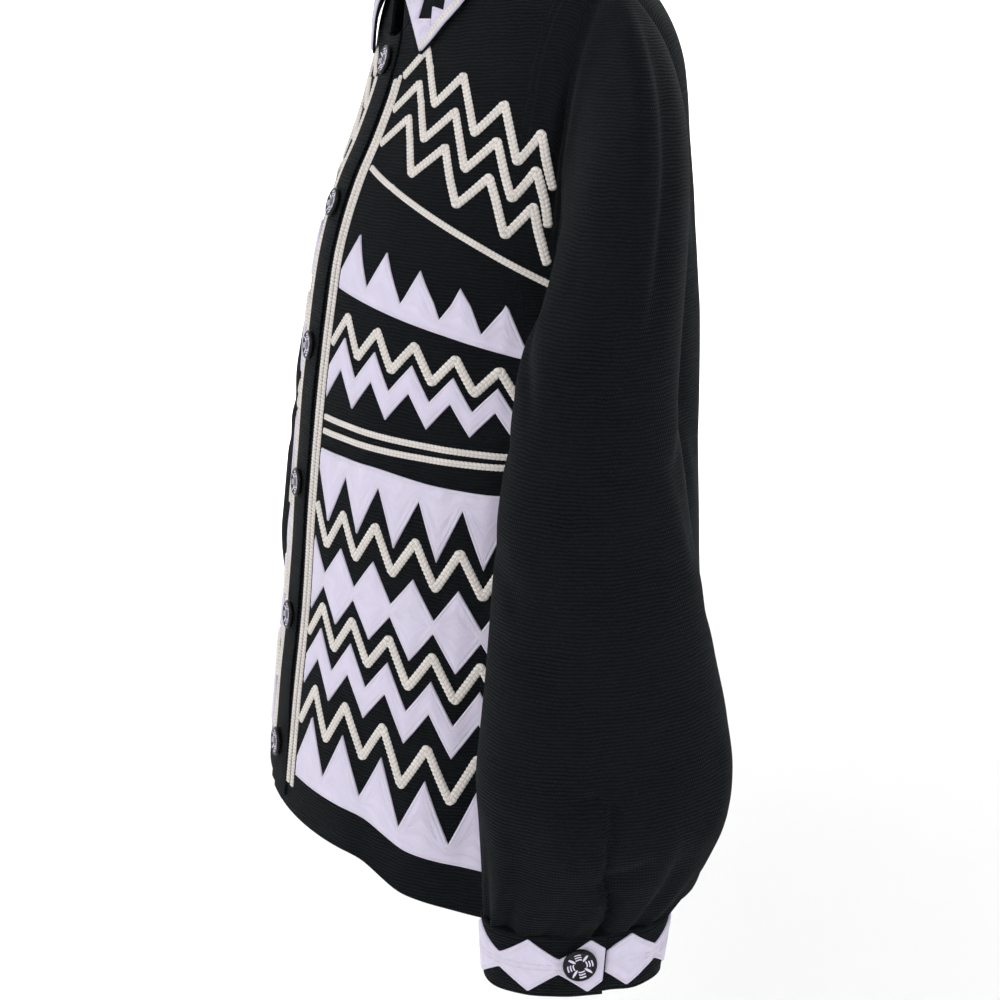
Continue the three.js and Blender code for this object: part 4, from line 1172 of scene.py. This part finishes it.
def height_share(s, z):
    """Share t of a front's height at girth share s and height z in mm."""
    top = top_z(mix(FRONT_X, SHOULDER_X, np.sin(s * math.pi / 2)), -1)
    low = look(HEM_LEFT, "at", s, "dz") + HEM_Z
    up = T_ARM + (1 - T_ARM) * (z - UNDERARM_Z) / (top - UNDERARM_Z)
    return np.minimum(np.where(z > UNDERARM_Z, up, T_ARM * (z - low) / (UNDERARM_Z - low)), ROWS_TOP)


def chest_share(s, f):
    """Share t of a front at a share f of the way from the waist braid to the yoke braid."""
    return height_share(s, mix(WAIST_Z, YOKE_Z - YOKE_FALL * s, f))


def build_cloth_rows(hand):
    """Rows of white points, zigzags and lozenges across a front."""
    side = side_of(hand)
    made = []
    for name, kind, t, base, tall, high in CLOTH_ROWS:
        s, w = saw(7, *FRONT_ROWS_AT, first_high=high)
        low, top = row_edges(kind, t, base, tall, w)
        label = f"{name[0].upper()}{name[1:]}_{side}"
        made.append(strip_piece(label, on_front(hand), s, low, top, applique_material(),
                                f"{name}_{side}", sign=hand))
    for name, kind, f, base, tall in CHEST_ROWS:
        s, w = saw(7, *FRONT_ROWS_AT)
        low, top = row_edges(kind, f, base, tall, w)
        made.append(strip_piece(f"{name}_{side}", on_front(hand), s, chest_share(s, low),
                                chest_share(s, top), applique_material(), sign=hand))
    return made


def row_edges(kind, at, base, tall, w):
    """Lower and upper edge of a row of cloth teeth with the height wave w."""
    if kind == "zigzag":
        return at + tall * w, at + tall * w + base
    if kind == "lozenges":
        return at - base - tall * w, at + base + tall * w
    tip = at + base + tall * w
    return np.minimum(at, tip), np.maximum(at, tip)


def build_braids(hand):
    """Zigzag and level braids across a front, and two upright ones beside its band."""
    side = side_of(hand)
    wide, thick, pitch = braid_sizes()
    place = on_front(hand)
    parts = []
    s, w = np.linspace(*FRONT_ROWS_AT, 15), np.arange(15) % 2
    for t, tall in BRAID_ROWS:
        parts.append((*braid_grid(place, s, t + tall * w, wide, thick, pitch), hand > 0))
    s, w = saw(7, *FRONT_ROWS_AT)
    for f, tall in CHEST_BRAIDS:
        slim = 1.0 if tall else LINE_SLIM
        parts.append((*braid_grid(place, s, chest_share(s, f + tall * w), wide * slim, thick * slim, pitch),
                      hand > 0))
    s, w = saw(4, FRONT_ROWS_AT[0], 0.885)
    for rise, tall in YOKE_BRAIDS:
        t = height_share(s, YOKE_Z - YOKE_FALL * s + rise + tall * w)
        parts.append((*braid_grid(place, s, t, wide, thick, pitch), hand > 0))
    rows = piece(f"Braid_rows_{side}", *join3(parts), slot="braid")
    edge = []
    for k in (0, 1):
        s = np.full(40, EDGE_AT[hand] + EDGE_APART * k)
        t = np.linspace(0.03, 0.925 - 0.004 * k, 40)
        grid, uv = braid_grid(place, s, t, wide * 0.7, thick * 0.85, pitch * 0.8)
        edge.append((grid, uv, hand > 0))
    made = piece(f"Edge_braid_{side}", *join3(edge), slot="braid")
    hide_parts(f"edge_braid_{side}")
    return [rows, made]


def join3(parts):
    verts, faces, uv = join_grids(parts)
    return verts, faces, braid_material(), uv


# Bands: left edge, columns, hem, height over the front and swing of the free edge at the hem
BANDS = {1: (-12.5, 17, HEM_Z + 35, 0.0, 0.0), -1: (-BAND_HALF, 21, HEM_Z + 43, BAND_STEP, 9.0)}


def build_band(hand):
    side = side_of(hand)
    left, cols, bottom, out, swing = BANDS[hand]
    x = np.linspace(left, BAND_HALF, cols)
    z = np.linspace(0, 1, 190)[:, None]
    low = bottom + 0 * x[None, :]
    top = neck_z(x, -1)[None, :] - 0.4
    zz = mix(low, top, z)
    xx = x[None, :] + np.where(x > 0, x / BAND_HALF, 0)[None, :] * swing * smooth((-560 - zz) / 105)
    uneven = 0.35 * np.sin(zz / 17.0) * np.sin(zz / 41.0 + 1) * (np.abs(x)[None, :] / BAND_HALF)
    lip = -0.5 * np.exp(-((np.abs(x)[None, :] - BAND_HALF) / 1.0) ** 2)
    grid = band_place(xx, zz, out + uneven + lip)
    verts, faces = shell(grid, KNIT - 0.3)
    uv = lengths(grid)
    dist = np.minimum(x - x[0], x[-1] - x)
    edge = np.stack([uv[..., 1], dist[None, :] + 0 * uv[..., 0]], -1)
    uv[..., 1] = zz
    made = piece(f"Band_{side}", verts, faces, knit_material("Knit band", topstitch=True), twice(uv),
                 twice(edge))
    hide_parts(f"band_{side}")
    return made


# Radius and height along the outline of a button
BUTTON_SHAPE = [(0.0, 0.0), (9.2, 0.0), (10.4, 0.35), (11.0, 1.0), (11.2, 1.8), (11.0, 2.6), (10.5, 3.2),
                (9.8, 3.55), (9.2, 3.5), (8.7, 3.2), (7.6, 2.9), (5.0, 2.7), (2.4, 2.65), (0.0, 2.65)]


def build_button(name, node, centre, normal, mirrored=False):
    shape = np.array(BUTTON_SHAPE)
    scale = settings()[0].button_radius / MM / shape[:, 0].max()
    z = unit(normal)
    x = unit(np.cross([0, 0, 1.0], z))
    y = np.cross(z, x)
    a = np.linspace(0, 2 * math.pi, 65)
    r = shape[:, :1] * scale
    h = shape[:, 1:] * np.ones(a.shape)
    uv = np.stack([r * np.cos(a), r * np.sin(a)], -1)
    grid = centre + uv[..., :1] * x + uv[..., 1:] * y + h[..., None] * z
    verts, faces = grid[:, :-1].reshape(-1, 3), quads(len(r), 64, True)
    made = piece(name, verts, faces, button_material(), uv[:, :-1], sharp=60, mirrored=mirrored,
                 slot="button")
    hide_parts(node)
    return made


EDGING_TEETH = 34


def leaf_height(i):
    """Length from fold to edge of the collar leaf, by the pace of its outer part."""
    return np.linalg.norm(leaf_base(i, 1.0) - leaf_base(i, 0.55), axis=-1) / 0.45


def build_collar():
    i = np.linspace(0, NECK_STEPS, 209)
    v = np.linspace(0, 1, 14)
    grid = stand_place(i[None, :], v[:, None] * np.ones((1, len(i))))
    verts, faces = shell(grid, COLLAR_WALL)
    uv = lengths(grid)
    stand = piece("Collar_stand", verts, faces, knit_material(), twice(uv))
    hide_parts("collar_stand")
    v = np.linspace(0, 1, 34) ** 1.1
    grid = leaf_place(i[None, :], v[:, None], 0.0)
    verts, faces = shell(grid, COLLAR_WALL, sign=-1)
    uv = lengths(grid)
    dist = np.minimum(uv[-1:, :, 1] - uv[..., 1], np.minimum(uv[..., 0], uv[:, -1:, 0] - uv[..., 0]))
    edge = np.stack([uv[..., 0], dist], -1)
    leaf = piece("Collar_leaf", verts, faces, knit_material("Knit collar", topstitch=True), twice(uv),
                 twice(edge))
    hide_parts("collar_leaf")
    # White edging with a toothed inner edge, along the outer edge and both front ends
    fine = np.linspace(0.15, 25.85, 1200)
    across = leaf_height(fine)
    gone = run_length(leaf_base(fine, 1.0))
    deep = 7.0 + 9.0 * wave(gone / gone[-1] * EDGING_TEETH)
    white = [strip_piece("Collar_edging_outer", leaf_place, fine, 1 - deep / across, 1 - 0.5 / across,
                         applique_material(), sign=-1)]
    for hand in HANDS:
        v = np.linspace(0.12, 0.985, 180)
        reach = (0.45 + 0.75 * wave((v - 0.12) / 0.865 * 4)) * smooth((v - 0.05) / 0.15)
        inner, rim = reach, 0.04 + 0 * v
        if hand < 0:
            inner, rim = NECK_STEPS - inner, 25.96 + 0 * v

        def place(a, b, out):
            return leaf_place(b, a, out)
        white.append(strip_piece(f"Collar_edging_{side_of(hand)}", place, v, rim, inner,
                                 applique_material(), sign=hand))
    wide, thick, pitch = braid_sizes()
    path = np.linspace(0.1, 25.9, 90)
    rise = 1 - (wide * 0.5 + 0.2) / leaf_height(path)
    grid, uv = braid_grid(leaf_place, path, rise, wide * 0.85, thick, pitch)
    cord = piece("Collar_braid", *join3([(grid, uv, False)]), slot="braid")
    return stand, leaf, white + [cord]


# Operators
class CARDIGAN_OT_fronts(bpy.types.Operator):
    """Build both fronts with their bands, white cloth rows and braid"""
    bl_idname = "cardigan.fronts"
    bl_label = "Fronts"

    def execute(self, context):
        for hand in HANDS:
            front = build_front(hand)
            extras = build_cloth_rows(hand) + build_braids(hand)
            band = build_band(hand)
        return {"FINISHED"}


class CARDIGAN_OT_back(bpy.types.Operator):
    """Build the back"""
    bl_idname = "cardigan.back"
    bl_label = "Back"

    def execute(self, context):
        back = build_back()
        return {"FINISHED"}


class CARDIGAN_OT_sleeves(bpy.types.Operator):
    """Build both sleeves, with the pleats let into their cuffs"""
    bl_idname = "cardigan.sleeves"
    bl_label = "Sleeves"

    def execute(self, context):
        for hand in HANDS:
            sleeve = build_sleeve(hand)
        return {"FINISHED"}


class CARDIGAN_OT_cuffs(bpy.types.Operator):
    """Build both cuffs with their chain of white lozenges"""
    bl_idname = "cardigan.cuffs"
    bl_label = "Cuffs"

    def execute(self, context):
        for hand in HANDS:
            side = side_of(hand)
            cuff = build_cuff(hand)
            chain = build_chain(hand)
        return {"FINISHED"}


class CARDIGAN_OT_collar(bpy.types.Operator):
    """Build the collar stand and leaf with their edging and braid"""
    bl_idname = "cardigan.collar"
    bl_label = "Collar"

    def execute(self, context):
        stand, leaf, extras = build_collar()
        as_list(extras)
        return {"FINISHED"}


class CARDIGAN_OT_buttons(bpy.types.Operator):
    """Build the six front buttons and a button on each cuff"""
    bl_idname = "cardigan.buttons"
    bl_label = "Buttons"

    def execute(self, context):
        for k, z in enumerate(BUTTON_Z):
            a = band_place(0.0, float(z), BAND_STEP + 0.7)
            b = band_place(0.0, float(z), BAND_STEP + 5.0)
            build_button(f"Button_front_{k + 1}", f"button_front_{k + 1}", a, b - a)
        out = LIFT + PATCH + 0.9
        a, b = cuff_place(*CUFF_BUTTON, out), cuff_place(*CUFF_BUTTON, out + 5)
        build_button("Button_cuff_left", "button_cuff_left", a, b - a)
        build_button("Button_cuff_right", "button_cuff_right", a, b - a, mirrored=True)
        return {"FINISHED"}


# View: place, tilt from straight down and turn in degrees, lens in mm, upward shift
EYE, TILT, TURN, LENS, SHIFT = (1.1203, -0.4300, -0.088), 78, 69, 55.62, -0.1296
# Floor that sweeps up into a round backdrop: reach and height over the floor
FLOOR_Z = -1.5
SWEEP = [(0.0, 0.0), (2.0, 0.0), (4.2, 0.0), (5.2, 0.13), (6.0, 0.5), (6.5, 1.1), (6.7, 2.0), (6.7, 7.0)]
MIDDLE, WALL = (0, 0, -0.35), (-6.7, 2.4, 0.2)
# Lamps: name, place, what they face, size, power, tint
LAMPS = [("Key", (2.6, -2.6, 2.4), MIDDLE, 2.0, 62, (1, 0.99, 0.97)),
         ("Fill", (3.2, 1.8, 0.9), MIDDLE, 2.6, 30, (0.97, 0.98, 1)),
         ("Front", (-1.4, -3.4, 0.8), MIDDLE, 2.2, 34, (1, 1, 1)),
         ("Rim", (-2.6, 2.6, 1.9), MIDDLE, 2.2, 34, (1, 1, 1)),
         ("Low", (1.8, -1.6, -1.3), MIDDLE, 2.0, 6, (1, 1, 1)),
         ("Backdrop", (-3.0, 1.0, 1.2), WALL, 2.6, 210, (1, 1, 1))]
SKY = 0.62


def build_floor():
    turn = np.linspace(0, 2 * math.pi, 97)
    grid = np.array([[(r * math.cos(a), r * math.sin(a), FLOOR_Z + z) for a in turn] for r, z in SWEEP])
    mesh = bpy.data.meshes.new("Floor")
    faces = quads(len(SWEEP), 96, True)[:, ::-1]
    mesh.from_pydata(grid[:, :-1].reshape(-1, 3).tolist(), [], faces.tolist())
    mesh.polygons.foreach_set("use_smooth", np.ones(len(mesh.polygons), bool))
    mesh.materials.append(stage_material())
    floor = bpy.data.objects.new("Floor", mesh)
    bpy.context.scene.collection.objects.link(floor)


class CARDIGAN_OT_stage(bpy.types.Operator):
    """Set the camera, the pale floor and the soft studio light"""
    bl_idname = "cardigan.stage"
    bl_label = "Stage"

    def execute(self, context):
        scene = context.scene
        cam = bpy.data.cameras.new("View")
        cam.sensor_width = 36.0
        cam.lens = LENS
        cam.shift_y = SHIFT
        eye = bpy.data.objects.new("View", cam)
        eye.location = EYE
        eye.rotation_euler = (math.radians(TILT), 0, math.radians(TURN))
        scene.collection.objects.link(eye)
        scene.camera = eye
        scene.view_settings.view_transform = "Standard"
        build_floor()
        for name, place, aim, size, power, tint in LAMPS:
            lamp = bpy.data.lights.new(name, "AREA")
            lamp.size = size
            lamp.energy = power
            lamp.color = tint
            spot = bpy.data.objects.new(name, lamp)
            spot.location = place
            spot.rotation_euler = (Vector(aim) - Vector(place)).to_track_quat("-Z", "Y").to_euler()
            scene.collection.objects.link(spot)
        world = bpy.data.worlds.new("Studio")
        world.use_nodes = True
        sky = world.node_tree.nodes["Background"]
        sky.inputs["Color"].default_value = (1, 1, 1, 1)
        sky.inputs["Strength"].default_value = SKY
        scene.world = world
        return {"FINISHED"}


STEPS = (CARDIGAN_OT_stage, CARDIGAN_OT_fronts, CARDIGAN_OT_back, CARDIGAN_OT_sleeves, CARDIGAN_OT_cuffs,
         CARDIGAN_OT_collar, CARDIGAN_OT_buttons)


class CARDIGAN_PT_panel(bpy.types.Panel):
    """Sizes, colours and steps of the cardigan"""
    bl_idname = "CARDIGAN_PT_panel"
    bl_label = "Cardigan"
    bl_space_type = "VIEW_3D"
    bl_region_type = "UI"
    bl_category = "Cardigan"

    def draw(self, context):
        for group in (context.scene.cardigan_sizes, context.scene.cardigan_colours):
            box = self.layout.box()
            for key in group.__annotations__:
                box.prop(group, key)
        for step in STEPS:
            self.layout.operator(step.bl_idname)


CLASSES = (CardiganSizes, CardiganColours) + STEPS + (CARDIGAN_PT_panel,)


def register():
    for cls in CLASSES:
        bpy.utils.register_class(cls)
    bpy.types.Scene.cardigan_sizes = bpy.props.PointerProperty(type=CardiganSizes)
    bpy.types.Scene.cardigan_colours = bpy.props.PointerProperty(type=CardiganColours)


def unregister():
    del bpy.types.Scene.cardigan_sizes
    del bpy.types.Scene.cardigan_colours
    for cls in reversed(CLASSES):
        bpy.utils.unregister_class(cls)


def main():
    register()
    for step in STEPS:
        space, name = step.bl_idname.split(".")
        getattr(getattr(bpy.ops, space), name)()


if __name__ == "__main__":
    main()
